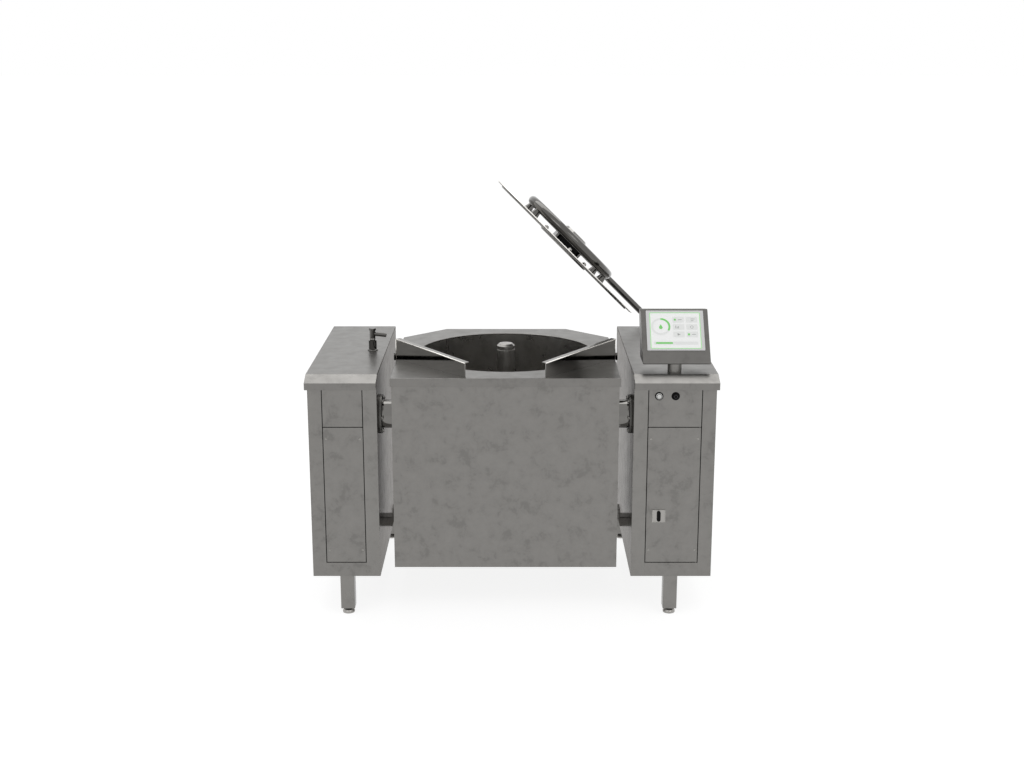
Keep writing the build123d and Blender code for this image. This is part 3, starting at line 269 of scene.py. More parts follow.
TOPS = ("left_column_cover", "right_column_cover", "kettle_top_plate")
BY_SLOT = {
    "brushed_steel": sheet_steel,
    "polished_steel": mirror_steel,
    "jacket_steel": jacket_steel,
    "dark_steel": dark_steel,
    "foot_steel": foot_steel,
    "drive_paint": drive_paint,
    "cabinet_paint": cabinet_paint,
    "black_plastic": black_plastic,
    "light_plastic": light_plastic,
    "scraper_plastic": scraper_plastic,
    "screen": screen_rim,
}
BY_NODE = {
    "left_column_inner_side": shaded_inner_steel,
    "right_column_inner_side": shaded_inner_steel,
    "mixer_post": post_steel,
    "lid_carrier": chrome,
    "left_trunnion": trunnion_steel,
    "right_trunnion": trunnion_steel,
    "start_button": button_lens,
    "button_bezels": black_plastic,
    "vessel": bowl_steel,
    "display_housing": housing_steel,
    "legs": leg_steel,
    "lid_seal": seal_rubber,
    "flange_bolts": bright_steel,
    "left_panel_fasteners": bright_steel,
    "door_fasteners": bright_steel,
    "latch_plate": bright_steel,
    "hub_nuts": bright_steel,
    "tap_post": chrome,
    "tap_head": chrome,
    "lid_disc": bright_steel,
}
slots = {part["node"]: part["material_slot"] for part in frame["record"]["subparts"]}
for node_name, node_object in NODES.items():
    finish = BY_SLOT[slots[node_name]]
    if node_name in TOPS:
        finish = shaded_top_steel
    finish = BY_NODE.get(node_name, finish)
    node_object.data.materials.clear()
    node_object.data.materials.append(finish)


# ---------------------------------------------------------------- mesh helpers

def mesh_object(name, made, material, body, smooth=True):
    """Links a bmesh as a named piece that rides on a body."""
    bmesh.ops.recalc_face_normals(made, faces=made.faces)
    data = bpy.data.meshes.new(name)
    made.to_mesh(data)
    made.free()
    data.materials.append(material)
    if smooth:
        data.shade_smooth()
    piece = bpy.data.objects.new(name, data)
    bpy.context.scene.collection.objects.link(piece)
    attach(piece, body)


def frame_of(origin, right, normal):
    """Matrix whose X is right, Z is normal and place is origin."""
    z = Vector(normal).normalized()
    x = Vector(right).normalized()
    y = z.cross(x)
    return Matrix.Translation(Vector(origin)) @ Matrix((x, y, z)).transposed().to_4x4()


def circle(radius, count, x=0.0, y=0.0):
    """Outline of a regular ring of points."""
    angles = [math.tau * k / count for k in range(count)]
    return [(x + radius * math.cos(a), y + radius * math.sin(a)) for a in angles]


def rounded(wide, tall, radius, x=0.0, y=0.0, steps=6):
    """Outline of a rectangle with round corners."""
    outline = []
    for quarter, (sx, sy) in enumerate(((1, 1), (-1, 1), (-1, -1), (1, -1))):
        for k in range(steps + 1):
            angle = math.pi / 2 * (quarter + k / steps)
            outline.append((
                x + sx * (wide / 2 - radius) + radius * math.cos(angle),
                y + sy * (tall / 2 - radius) + radius * math.sin(angle),
            ))
    return outline


def add_plate(made, place, outline, low, high):
    """Adds a flat plate to a bmesh."""
    count = len(outline)
    lower, upper = [
        [made.verts.new(place @ Vector((x, y, z))) for x, y in outline]
        for z in (low, high)
    ]
    for k in range(count):
        made.faces.new((lower[k], lower[(k + 1) % count], upper[(k + 1) % count], upper[k]))
    made.faces.new(upper)
    made.faces.new(lower[::-1])


def add_band(made, place, outer, inner, low, high):
    """Adds a flat frame between two outlines of the same count."""
    count = len(outer)
    rings = [
        [made.verts.new(place @ Vector((x, y, z))) for x, y in outline]
        for outline, z in ((outer, low), (outer, high), (inner, high), (inner, low))
    ]
    for a, b in zip(rings, rings[1:] + rings[:1]):
        for k in range(count):
            made.faces.new((a[k], a[(k + 1) % count], b[(k + 1) % count], b[k]))


def add_lathe(made, place, profile, steps=48, closed=False):
    """Adds a turned form from (radius, height) points."""
    rings = []
    for radius, height in profile:
        rings.append([
            made.verts.new(place @ Vector((
                radius * math.cos(math.tau * k / steps),
                radius * math.sin(math.tau * k / steps),
                height,
            )))
            for k in range(steps)
        ])
    pairs = list(zip(rings, rings[1:]))
    if closed:
        pairs.append((rings[-1], rings[0]))
    for a, b in pairs:
        for k in range(steps):
            made.faces.new((a[k], a[(k + 1) % steps], b[(k + 1) % steps], b[k]))


def add_sweep(made, points, radius, sides=8):
    """Adds a round bead along a straight or bent run of points."""
    rings = []
    for k, point in enumerate(points):
        before = points[max(k - 1, 0)]
        after = points[min(k + 1, len(points) - 1)]
        way = (after - before).normalized()
        side = way.cross(Z if abs(way.z) < 0.9 else X).normalized()
        lift = side.cross(way)
        rings.append([
            made.verts.new(
                point
                + side * (radius * math.cos(math.tau * s / sides))
                + lift * (radius * math.sin(math.tau * s / sides))
            )
            for s in range(sides)
        ])
    for a, b in zip(rings, rings[1:]):
        for s in range(sides):
            made.faces.new((a[s], a[(s + 1) % sides], b[(s + 1) % sides], b[s]))
    made.faces.new(rings[0][::-1])
    made.faces.new(rings[-1])


# ---------------------------------------------------------------- piece helpers

def turned(name, place, profile, material, body, steps=48, closed=False):
    """A piece of one turned form."""
    made = bmesh.new()
    add_lathe(made, place, profile, steps, closed)
    mesh_object(name, made, material, body)


def banded(name, place, outer, inner, low, high, material, body, smooth=False):
    """A piece of one flat frame between two outlines."""
    made = bmesh.new()
    add_band(made, place, outer, inner, low, high)
    mesh_object(name, made, material, body, smooth=smooth)


def torus_profile(major, minor, level, sides):
    """Closed round section of a ring."""
    angles = [math.tau * k / sides for k in range(sides)]
    return [(major + minor * math.cos(a), level + minor * math.sin(a)) for a in angles]


def front_frame(node, level=None):
    """Frame on a node's front face, or at another depth, looking out of the machine."""
    center = middle(node)
    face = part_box(node)[0].y if level is None else level
    return frame_of((center.x, face, center.z), X, -Y)


def halfway(points, way):
    """Middle of a cloud of points along a direction."""
    along = [p.dot(way) for p in points]
    return (min(along) + max(along)) / 2


# ---------------------------------------------------------------- touch screen

# The middle of the front face comes from the slab's extents along its normal and up its face.
SCREEN_LEAN = math.radians(40.0)
screen_corners = [v.co for v in NODES["display_screen"].data.vertices]
face_normal = Vector((0, -math.cos(SCREEN_LEAN), math.sin(SCREEN_LEAN)))
face_up = Vector((0, math.sin(SCREEN_LEAN), math.cos(SCREEN_LEAN)))
screen_front = max(p.dot(face_normal) for p in screen_corners)
screen_middle = middle("display_screen")
screen_middle += face_normal * (screen_front - screen_middle.dot(face_normal))
screen_middle += face_up * (halfway(screen_corners, face_up) - screen_middle.dot(face_up))
screen = frame_of(screen_middle, X, face_normal)

# The picture is built of thin layers, each starting a little below the top of the one under it.
LAYER = 0.00022
LAYER_FOOT = 0.9
PANE_WIDE, PANE_TALL = 0.183, 0.148
PANE_ROUND, PANE_INNER_ROUND = 0.005, 0.003
PANE_DROP = -0.001
FRAME_LINE = 0.003


def screen_piece(name, material, level, plates=(), bands=()):
    """Flat marks of one colour on one layer of the picture."""
    made = bmesh.new()
    low = LAYER * (level - 1) * LAYER_FOOT
    high = LAYER * level
    for outline in plates:
        add_plate(made, screen, [(x, y + PANE_DROP) for x, y in outline], low, high)
    for outer, inner in bands:
        shifted = [[(x, y + PANE_DROP) for x, y in line] for line in (outer, inner)]
        add_band(made, screen, *shifted, low, high)
    mesh_object(name, made, material, "base", smooth=False)


def arc_band(x, y, outer, inner, start, end, steps=24):
    """Outline of part of a ring."""
    angles = [math.radians(start + (end - start) * k / steps) for k in range(steps + 1)]
    out = [(x + outer * math.cos(a), y + outer * math.sin(a)) for a in angles]
    back = [(x + inner * math.cos(a), y + inner * math.sin(a)) for a in reversed(angles)]
    return out + back


DROP_SHOULDER, DROP_SWEEP, DROP_STEPS = 150, 240, 16
DROP_POINT = 2.1


def drop_shape(x, y, size):
    """A pointed drop."""
    turns = [DROP_SHOULDER + DROP_SWEEP * k / DROP_STEPS for k in range(DROP_STEPS + 1)]
    angles = [math.radians(turn) for turn in turns]
    lower = [(x + size * math.cos(a), y + size * math.sin(a)) for a in angles]
    return lower + [(x, y + DROP_POINT * size)]


TILE_X = (0.012, 0.060)
TILE_Y = (0.044, 0.014, -0.016)
TILE_WIDE, TILE_TALL, TILE_ROUND = 0.042, 0.024, 0.003
BAR_WIDE, BAR_TALL, BAR_ROUND, BAR_Y = 0.160, 0.013, 0.004, -0.051
FILL_WIDE, FILL_TALL, FILL_ROUND, FILL_X = 0.062, 0.007, 0.0034, -0.042
DIAL_X, DIAL_Y = -0.052, 0.016
DIAL_OUT, DIAL_IN = 0.035, 0.027
DIAL_INSET = 0.0005
DIAL_FROM, DIAL_TO = -30, 90
DROP_SIZE, DROP_FALL = 0.0065, 0.004
SIGN_SHIFT = 0.012
SIGN_ROUND = 0.0042
SIGN_SQUARE, SIGN_CORNER = 0.008, 0.001
MARK, MARK_ROUND = 0.0022, 0.0008
ARROW_BACK, ARROW_TIP, ARROW_HALF = 0.005, 0.006, 0.005
RING_MARK_OUT, RING_MARK_IN = 0.0058, 0.0044


def dash(column, row, right, up, wide):
    """A short level stroke in a tile."""
    return rounded(wide, MARK, MARK_ROUND, TILE_X[column] + right, TILE_Y[row] + up)


def stroke(column, row, right, up, tall):
    """A short upright stroke in a tile."""
    return rounded(MARK, tall, MARK_ROUND, TILE_X[column] + right, TILE_Y[row] + up)


pane_outline = rounded(PANE_WIDE, PANE_TALL, PANE_ROUND)
pane_inside = rounded(PANE_WIDE - 2 * FRAME_LINE, PANE_TALL - 2 * FRAME_LINE, PANE_INNER_ROUND)
screen_piece("screen_pane", screen_pane, 1, [pane_outline])
screen_piece("screen_frame", screen_green, 2, bands=[(pane_outline, pane_inside)])
tiles = [rounded(TILE_WIDE, TILE_TALL, TILE_ROUND, x, y) for x in TILE_X for y in TILE_Y]
tiles.append(rounded(BAR_WIDE, BAR_TALL, BAR_ROUND, 0.0, BAR_Y))
dial = (circle(DIAL_OUT, 48, DIAL_X, DIAL_Y), circle(DIAL_IN, 48, DIAL_X, DIAL_Y))
screen_piece("screen_tiles", screen_tile, 2, tiles, [dial])
screen_piece("screen_dial_mark", screen_leaf, 3, [
    arc_band(DIAL_X, DIAL_Y, DIAL_OUT - DIAL_INSET, DIAL_IN + DIAL_INSET, DIAL_FROM, DIAL_TO),
    drop_shape(DIAL_X, DIAL_Y - DROP_FALL, DROP_SIZE),
    rounded(FILL_WIDE, FILL_TALL, FILL_ROUND, FILL_X, BAR_Y),
    circle(SIGN_ROUND, 20, TILE_X[0] - SIGN_SHIFT, TILE_Y[0]),
    rounded(SIGN_SQUARE, SIGN_SQUARE, SIGN_CORNER, TILE_X[1] - SIGN_SHIFT, TILE_Y[2]),
])
ring_mark = [circle(radius, 24, TILE_X[1], TILE_Y[1]) for radius in (RING_MARK_OUT, RING_MARK_IN)]
screen_piece("screen_small_marks", screen_ink, 3, [
    dash(0, 0, 0.006, 0.0, 0.014),
    dash(1, 0, 0.004, 0.003, 0.014),
    dash(1, 0, 0.002, -0.004, 0.010),
    stroke(0, 1, -0.010, 0.0, 0.012),
    stroke(0, 1, -0.005, -0.002, 0.008),
    stroke(0, 1, 0.0, -0.001, 0.010),
    [(TILE_X[0] - ARROW_BACK, TILE_Y[2] - ARROW_HALF),
     (TILE_X[0] + ARROW_TIP, TILE_Y[2]),
     (TILE_X[0] - ARROW_BACK, TILE_Y[2] + ARROW_HALF)],
    dash(1, 2, 0.006, 0.0, 0.014),
], [ring_mark])

# ---------------------------------------------------------------- buttons and latch

EMBED = 0.0002
SKIN = 0.0003
BUTTON_STEPS = 40
LENS_PROFILE = [(0.0086, -EMBED), (0.0086, SKIN), (0.0078, 0.0007), (0.0048, 0.0010), (0.0, 0.0011)]
CAP_PROFILE = [(0.0100, -EMBED), (0.0100, 0.0008), (0.0082, 0.0010), (0.0076, SKIN), (0.0, SKIN)]
BEZEL_PROFILE = [(0.0136, -0.0006), (0.0139, 0.0002), (0.0133, 0.0009), (0.0123, 0.0009),
                 (0.0117, 0.0002), (0.0119, -0.0006)]
LENS_RING_OUT, LENS_RING_IN, LENS_RING_TOP = 0.0094, 0.0080, 0.0009
CAP_RING_OUT, CAP_RING_IN, CAP_RING_TOP = 0.0062, 0.0056, 0.0006

start_place = front_frame("start_button")
turned("start_button_lens", start_place, LENS_PROFILE, button_lens, "start_button")
banded("start_button_ring", start_place,
       circle(LENS_RING_OUT, BUTTON_STEPS), circle(LENS_RING_IN, BUTTON_STEPS),
       -EMBED, LENS_RING_TOP, black_plastic, "start_button")
stop_place = front_frame("stop_button")
turned("stop_button_cap", stop_place, CAP_PROFILE, black_plastic, "stop_button")
banded("stop_button_ring", stop_place,
       circle(CAP_RING_OUT, BUTTON_STEPS), circle(CAP_RING_IN, BUTTON_STEPS),
       0.0, CAP_RING_TOP, ring_gray, "stop_button")
bezel_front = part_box("button_bezels")[0].y
for label in ("start", "stop"):
    turned(f"{label}_bezel_bead", front_frame(f"{label}_button", bezel_front), BEZEL_PROFILE,
           black_plastic, "base", closed=True)

LATCH_RIM_OUT, LATCH_RIM_OUT_ROUND = 0.048, 0.0022
LATCH_RIM_IN, LATCH_RIM_IN_ROUND = 0.044, 0.0016
LATCH_RIM_FOOT, LATCH_RIM_TOP = -0.0004, 0.0006
banded("latch_plate_rim", front_frame("latch_plate"),
       rounded(LATCH_RIM_OUT, LATCH_RIM_OUT, LATCH_RIM_OUT_ROUND),
       rounded(LATCH_RIM_IN, LATCH_RIM_IN, LATCH_RIM_IN_ROUND),
       LATCH_RIM_FOOT, LATCH_RIM_TOP, bright_steel, "door", smooth=True)

# ---------------------------------------------------------------- fasteners

SCREW_INSET = 0.004
SOCKET_OUT, SOCKET_IN = 0.0024, 0.0017
SOCKET_FOOT, SOCKET_TOP, SOCKET_SIDES = -0.0008, 0.0002, 6


def screw_sockets(name, node, body):
    """Dark hexagon rings in the low heads at the corners of a panel: painted shade of their sockets."""
    low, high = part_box(node)
    made = bmesh.new()
    for x in (low.x + SCREW_INSET, high.x - SCREW_INSET):
        for z in (low.z + SCREW_INSET, high.z - SCREW_INSET):
            place = frame_of((x, low.y, z), X, -Y)
            add_band(made, place, circle(SOCKET_OUT, SOCKET_SIDES), circle(SOCKET_IN, SOCKET_SIDES),
                     SOCKET_FOOT, SOCKET_TOP)
    mesh_object(name, made, thread_steel, body, smooth=False)


screw_sockets("left_panel_sockets", "left_panel_fasteners", "base")
screw_sockets("door_sockets", "door_fasteners", "door")

BOLTS = 6
BOLT_CIRCLE = 0.062
BOLT_HEAD = 0.005
WASHER_PROFILE = [(0.0078, 0.0), (0.0078, 0.0009), (0.0072, 0.0012), (0.0050, 0.0012)]
bolt_low, bolt_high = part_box("flange_bolts")
tilt_axis = middle("bearing_flanges")
made = bmesh.new()
for face_x, way in ((bolt_low.x + BOLT_HEAD, 1), (bolt_high.x - BOLT_HEAD, -1)):
    for k in range(BOLTS):
        turn = math.tau * k / BOLTS
        y = tilt_axis.y + BOLT_CIRCLE * math.cos(turn)
        z = tilt_axis.z + BOLT_CIRCLE * math.sin(turn)
        add_lathe(made, frame_of((face_x, y, z), Y, X * way), WASHER_PROFILE, steps=20)
mesh_object("flange_washers", made, bright_steel, "base")

# ---------------------------------------------------------------- painted shade in the panel gaps

PANEL_GAP = 0.003
GAP_SHADE_RECESS = 0.0014
GAP_SHADE_DEEP = 0.004
GAP_SHADE_CLEAR = 0.0001
GAP_SHADE_TOP_DROP = 0.002
BLOCK_FACES = ((0, 1, 2, 3), (7, 6, 5, 4), (0, 4, 5, 1), (1, 5, 6, 2), (2, 6, 7, 3), (3, 7, 4, 0))

upper_low, upper_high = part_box("left_upper_panel")
lower_low, lower_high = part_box("left_lower_panel")
door_low, door_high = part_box("control_door")
gap_shade_front = lower_low.y + GAP_SHADE_RECESS
gap_shade_back = gap_shade_front + GAP_SHADE_DEEP


def gap_shade_strip(made, x0, x1, z0, z1):
    """Adds a black strip recessed in a gap between panels: painted shade in the gap."""
    outline = ((x0, z0), (x1, z0), (x1, z1), (x0, z1))
    corners = [made.verts.new((x, y, z)) for y in (gap_shade_front, gap_shade_back) for x, z in outline]
    for face in BLOCK_FACES:
        made.faces.new([corners[k] for k in face])


# The left panels have flanges behind the stiles, so the inner gap is taken from the column's side
# and the outer gap is its mirror image.
inner_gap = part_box("left_column_inner_side")[0].x
outer_gap = lower_low.x + lower_high.x - inner_gap
gap_shade_top = upper_high.z - GAP_SHADE_TOP_DROP
gap_shade_foot = lower_low.z - PANEL_GAP + GAP_SHADE_CLEAR
# Black strips in the gaps around the left panels and the control door: painted shade.
made = bmesh.new()
for gap in (outer_gap, inner_gap - PANEL_GAP):
    gap_shade_strip(made, gap + GAP_SHADE_CLEAR, gap + PANEL_GAP - GAP_SHADE_CLEAR, gap_shade_foot, gap_shade_top)
gap_shade_strip(made, outer_gap, inner_gap, lower_high.z + GAP_SHADE_CLEAR, upper_low.z - GAP_SHADE_CLEAR)
gap_shade_strip(made, outer_gap, inner_gap, gap_shade_foot, lower_low.z - GAP_SHADE_CLEAR)
mesh_object("left_panel_gap_shades", made, gap_shade_black, "base", smooth=False)
made = bmesh.new()
panel_foot = door_high.z + PANEL_GAP
for gap in (door_low.x - PANEL_GAP, door_high.x):
    gap_shade_strip(made, gap + GAP_SHADE_CLEAR, gap + PANEL_GAP - GAP_SHADE_CLEAR, panel_foot, gap_shade_top)
mesh_object("control_panel_gap_shades", made, gap_shade_black, "base", smooth=False)

# ---------------------------------------------------------------- feet

# A vertex nearer than this to the first vertex of a foot belongs to that foot.
FOOT_REACH = 0.09
THREAD_TURNS, THREAD_PITCH, THREAD_START = 6, 0.0015, 0.0124
THREAD_CREST, THREAD_ROOT, THREAD_CORE = 0.0126, 0.0113, 0.0112
THREAD_FLAT, THREAD_FALL, THREAD_FOOT = 0.0005, 0.0010, 0.0116
PAD_PROFILE = [(0.0150, 0.0119), (0.0222, 0.0064), (0.0226, 0.0056), (0.0222, 0.0048), (0.0219, 0.0048)]


def foot_groups():
    """The vertices of the feet, one list for each foot."""
    groups = []
    for vertex in NODES["leveling_feet"].data.vertices:
        for group in groups:
            if (group[0].xy - vertex.co.xy).length < FOOT_REACH:
                group.append(vertex.co.copy())
                break
        else:
            groups.append([vertex.co.copy()])
    return groups


thread_profile = [(THREAD_CORE, THREAD_FOOT)]
for turn in range(THREAD_TURNS):
    level = THREAD_START + THREAD_PITCH * turn
    thread_profile += [
        (THREAD_CREST, level),
        (THREAD_CREST, level + THREAD_FLAT),
        (THREAD_ROOT, level + THREAD_FALL),
    ]
made = bmesh.new()
pads = bmesh.new()
for group in foot_groups():
    place = Matrix.Translation((halfway(group, X), halfway(group, Y), 0))
    add_lathe(made, place, thread_profile, steps=28)
    add_lathe(pads, place, PAD_PROFILE, steps=40)
mesh_object("foot_threads", made, thread_steel, "base")
mesh_object("foot_pad_beads", pads, foot_steel, "base")

# ---------------------------------------------------------------- lid

# How far the lid is open at rest, and how far its arm is turned from the machine's width.
LID_OPEN, LID_TURN = math.radians(45.0), math.radians(6.6)
RING_RADIUS, RING_TUBE, RING_RISE, RING_SHIFT = 0.1965, 0.01756, 0.039, -0.010
EDGE_RADIUS, EDGE_BEAD = 0.3536, 0.0017
STAND_OFF_TURNS = (-27, 27)
STAND_OFF_RISE = 0.0015
STAND_OFF_WELD = [(0.0155, 0.0030), (0.0178, 0.0018), (0.0192, 0.0004), (0.0194, -0.0002)]

heading = Vector((math.cos(LID_TURN), math.sin(LID_TURN), 0))
lid_along = heading * math.cos(LID_OPEN) - Z * math.sin(LID_OPEN)
lid_normal = heading * math.sin(LID_OPEN) + Z * math.cos(LID_OPEN)
lid_across = lid_normal.cross(lid_along)
disc_points = [v.co for v in NODES["lid_disc"].data.vertices]
disc_level = sum(p.dot(lid_normal) for p in disc_points) / len(disc_points)
lid_center = (
    lid_along * halfway(disc_points, lid_along)
    + lid_across * halfway(disc_points, lid_across)
    + lid_normal * disc_level
)
lid_place = frame_of(lid_center, lid_along, lid_normal)
ring_place = Matrix.Translation(lid_along * RING_SHIFT) @ lid_place
turned("lid_ring", ring_place, torus_profile(RING_RADIUS, RING_TUBE, RING_RISE, sides=24),
       chrome, "lid", steps=96, closed=True)
# A nearly white bead round the lid's edge: painted highlight.
turned("lid_rim_highlight_bead", lid_place, torus_profile(EDGE_RADIUS, EDGE_BEAD, 0.0, sides=10),
       highlight_steel, "lid", steps=128, closed=True)
made = bmesh.new()
for side in (-1, 1):
    for turn in STAND_OFF_TURNS:
        angle = math.radians(turn)
        x = RING_SHIFT + side * RING_RADIUS * math.cos(angle)
        y = RING_RADIUS * math.sin(angle)
        seat = Matrix.Translation((x, y, STAND_OFF_RISE))
        add_lathe(made, lid_place @ seat, STAND_OFF_WELD, steps=28)
mesh_object("stand_off_welds", made, weld_steel, "lid")

# ---------------------------------------------------------------- kettle

BOWL = 0.335
TRUNNION_WELD = [(0.0592, -0.0002), (0.0578, 0.0016), (0.0552, 0.0032),
                 (0.0530, 0.0048), (0.0519, 0.0062)]
GUARDS = (("left_splash_guard", -1), ("right_splash_guard", 1))
# Outward normal of the right guard's face. The left guard's is its mirror image.
GUARD_FACE = Vector((0.7317, -0.6816, 0.0))
GUARD_BEAD, GUARD_BACK_SHARE, GUARD_BEAD_DROP = 0.0021, 0.7, 0.0014
GUARD_WELD, GUARD_WELD_RISE, GUARD_WELD_STEPS = 0.0013, 0.0009, 12
GUARD_TAB = 0.012
# How near a vertex has to be to count as on the foot line, the face or its front end.
FOOT_MATCH, FACE_MATCH, FRONT_MATCH = 0.0004, 0.0006, 0.001

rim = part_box("kettle_top_plate")[1].z
vessel_middle = middle("vessel")
rim_weld = [
    (BOWL + 0.0016, rim + 0.0001),
    (BOWL + 0.0002, rim + 0.0003),
    (BOWL - 0.0007, rim - 0.0004),
    (BOWL - 0.0010, rim - 0.0018),
    (BOWL - 0.0006, rim - 0.0042),
    (BOWL + 0.0004, rim - 0.0052),
]
turned("vessel_rim_weld", Matrix.Translation((vessel_middle.x, vessel_middle.y, 0)), rim_weld,
       weld_steel, "kettle", steps=128)
made = bmesh.new()
left_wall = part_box("kettle_left_side")[0].x
right_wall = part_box("kettle_right_side")[1].x
for wall, way in ((left_wall, -1), (right_wall, 1)):
    add_lathe(made, frame_of((wall, tilt_axis.y, tilt_axis.z), Y, X * way), TRUNNION_WELD, steps=64)
mesh_object("trunnion_welds", made, weld_steel, "kettle")

made = bmesh.new()
for node, _ in GUARDS:
    back_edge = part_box(node)[1].y - GUARD_TAB
    foot = [p.co for p in NODES[node].data.vertices if abs(p.co.z - rim) < FOOT_MATCH]
    near = min(foot, key=lambda p: p.y)
    far = max((p for p in foot if p.y < back_edge), key=lambda p: p.y)
    steps = [near.lerp(far, k / GUARD_WELD_STEPS) for k in range(GUARD_WELD_STEPS + 1)]
    add_sweep(made, [step + Z * GUARD_WELD_RISE for step in steps], GUARD_WELD)
mesh_object("guard_welds", made, weld_steel, "kettle")

# Nearly white beads along the guards' top and back edges: painted highlight.
made = bmesh.new()
for node, side in GUARDS:
    corners = [p.co.copy() for p in NODES[node].data.vertices]
    outward = Vector((side * GUARD_FACE.x, GUARD_FACE.y, 0))
    reach = max(p.dot(outward) for p in corners)
    face = [p for p in corners if p.dot(outward) > reach - FACE_MATCH]
    nearest = min(p.y for p in face)
    front = max((p for p in face if p.y < nearest + FRONT_MATCH), key=lambda p: p.z)
    back = max(face, key=lambda p: p.z)
    drop = Z * GUARD_BEAD_DROP
    add_sweep(made, [front - drop, back - drop], GUARD_BEAD)
    add_sweep(made, [back - drop, Vector((back.x, back.y, rim))], GUARD_BEAD * GUARD_BACK_SHARE)
mesh_object("guard_highlight_beads", made, highlight_steel, "kettle")

# ---------------------------------------------------------------- tap

# Level at which the tap head turns on its post.
TAP_JOINT_LEVEL = 0.939
ROSETTE_PROFILE = [(0.0205, 0.0), (0.0205, 0.0018), (0.0192, 0.0032), (0.0160, 0.0040), (0.0152, 0.0046)]
HEAD_RING_LEVELS = (0.0035, 0.0065)
HEAD_RING_FOOT, HEAD_RING_CREST, HEAD_RING_HALF = 0.0112, 0.0118, 0.0010

tap_middle = middle("tap_post")
tap_place = Matrix.Translation((tap_middle.x, tap_middle.y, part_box("tap_post")[0].z))
turned("tap_rosette", tap_place, ROSETTE_PROFILE, chrome, "base")
head_place = Matrix.Translation((tap_middle.x, tap_middle.y, TAP_JOINT_LEVEL))
made = bmesh.new()
for level in HEAD_RING_LEVELS:
    add_lathe(made, head_place, [
        (HEAD_RING_FOOT, level - HEAD_RING_HALF),
        (HEAD_RING_CREST, level),
        (HEAD_RING_FOOT, level + HEAD_RING_HALF),
    ])
mesh_object("tap_head_rings", made, bright_steel, "tap")

# ---------------------------------------------------------------- camera, floor and light

# Solved from the straight edges of the columns in the photograph.
CAMERA_LENS, CAMERA_SENSOR, CAMERA_SIGHT = 50.0, 36.0, 200.0
CAMERA_PLACE = (0.0, -5.36266, 2.0952)
CAMERA_PITCH = math.radians(75.964)

camera_data = bpy.data.cameras.new("camera")
camera_data.lens = CAMERA_LENS
camera_data.sensor_width = CAMERA_SENSOR
camera_data.clip_end = CAMERA_SIGHT
camera = bpy.data.objects.new("camera", camera_data)
camera.location = CAMERA_PLACE
camera.rotation_euler = (CAMERA_PITCH, 0.0, 0.0)
bpy.context.scene.collection.objects.link(camera)
bpy.context.scene.camera = camera


def seen_rays(tree):
    """1 for camera, glossy and transmission rays, 0 for the rest."""
    path = tree.nodes.new("ShaderNodeLightPath")
    first = tree.nodes.new("ShaderNodeMath")
    first.operation = "MAXIMUM"
    tree.links.new(path.outputs["Is Camera Ray"], first.inputs[0])
    tree.links.new(path.outputs["Is Glossy Ray"], first.inputs[1])
    second = tree.nodes.new("ShaderNodeMath")
    second.operation = "MAXIMUM"
    tree.links.new(first.outputs["Value"], second.inputs[0])
    tree.links.new(path.outputs["Is Transmission Ray"], second.inputs[1])
    return second.outputs["Value"]


FLOOR_HALF, FLOOR_DROP = 60.0, 0.0004
# The floor glows near to white where it is seen, and its gray share keeps the shadow.
FLOOR_GRAY, FLOOR_GLOW = 0.32, 0.85
# The world is white where it is seen or reflected, and lights the part more softly.
WORLD_LIGHT, WORLD_SEEN = 0.55, 1.0

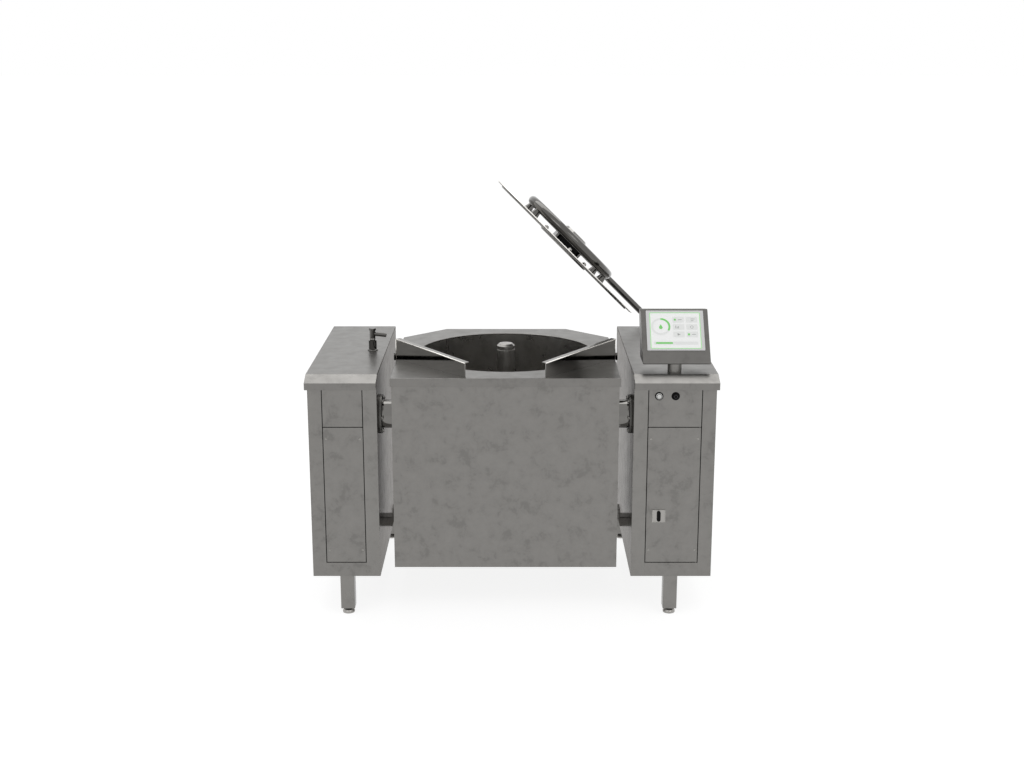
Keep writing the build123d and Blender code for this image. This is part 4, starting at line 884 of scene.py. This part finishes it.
FLOOR_SIGNS = ((-1, -1), (1, -1), (1, 1), (-1, 1))
floor_corners = [(sx * FLOOR_HALF, sy * FLOOR_HALF, 0) for sx, sy in FLOOR_SIGNS]
floor_mesh = bpy.data.meshes.new("floor")
floor_mesh.from_pydata(floor_corners, [], [(0, 1, 2, 3)])
floor = bpy.data.objects.new("floor", floor_mesh)
floor.location.z = -FLOOR_DROP
bpy.context.scene.collection.objects.link(floor)
floor_material = bpy.data.materials.new("floor_paint")
floor_material.use_nodes = True
tree = floor_material.node_tree
tree.nodes.clear()
diffuse = tree.nodes.new("ShaderNodeBsdfDiffuse")
diffuse.inputs["Color"].default_value = (FLOOR_GRAY, FLOOR_GRAY, FLOOR_GRAY, 1)
glow = tree.nodes.new("ShaderNodeEmission")
glow_level = tree.nodes.new("ShaderNodeMath")
glow_level.operation = "MULTIPLY"
glow_level.inputs[1].default_value = FLOOR_GLOW
tree.links.new(seen_rays(tree), glow_level.inputs[0])
tree.links.new(glow_level.outputs["Value"], glow.inputs["Strength"])
both = tree.nodes.new("ShaderNodeAddShader")
out = tree.nodes.new("ShaderNodeOutputMaterial")
tree.links.new(diffuse.outputs["BSDF"], both.inputs[0])
tree.links.new(glow.outputs["Emission"], both.inputs[1])
tree.links.new(both.outputs["Shader"], out.inputs["Surface"])
floor_mesh.materials.append(floor_material)

world = bpy.data.worlds.new("studio")
world.use_nodes = True
bpy.context.scene.world = world
tree = world.node_tree
tree.nodes.clear()
level = tree.nodes.new("ShaderNodeMapRange")
level.inputs["To Min"].default_value = WORLD_LIGHT
level.inputs["To Max"].default_value = WORLD_SEEN
tree.links.new(seen_rays(tree), level.inputs["Value"])
background = tree.nodes.new("ShaderNodeBackground")
background.inputs["Color"].default_value = (1, 1, 1, 1)
tree.links.new(level.outputs["Result"], background.inputs["Strength"])
out = tree.nodes.new("ShaderNodeOutputWorld")
tree.links.new(background.outputs["Background"], out.inputs["Surface"])


def area_lamp(name, place, target, wide, tall, power):
    """Soft rectangular lamp that looks at a point."""
    data = bpy.data.lights.new(name, "AREA")
    data.shape = "RECTANGLE"
    data.size = wide
    data.size_y = tall
    data.energy = power
    lamp = bpy.data.objects.new(name, data)
    lamp.location = place
    lamp.rotation_mode = "QUATERNION"
    lamp.rotation_quaternion = (Vector(target) - Vector(place)).to_track_quat("-Z", "Y")
    bpy.context.scene.collection.objects.link(lamp)


area_lamp("overhead_softbox", place=(0.0, 1.1, 3.6), target=(0.0, -0.3, 0.9),
          wide=3.2, tall=1.6, power=30.0)
for side, x in (("left", -2.6), ("right", 2.6)):
    area_lamp(f"{side}_softbox", place=(x, -3.4, 3.9), target=(0.0, 0.0, 0.7),
              wide=2.4, tall=1.8, power=17.0)

bpy.context.scene.view_settings.view_transform = "Standard"
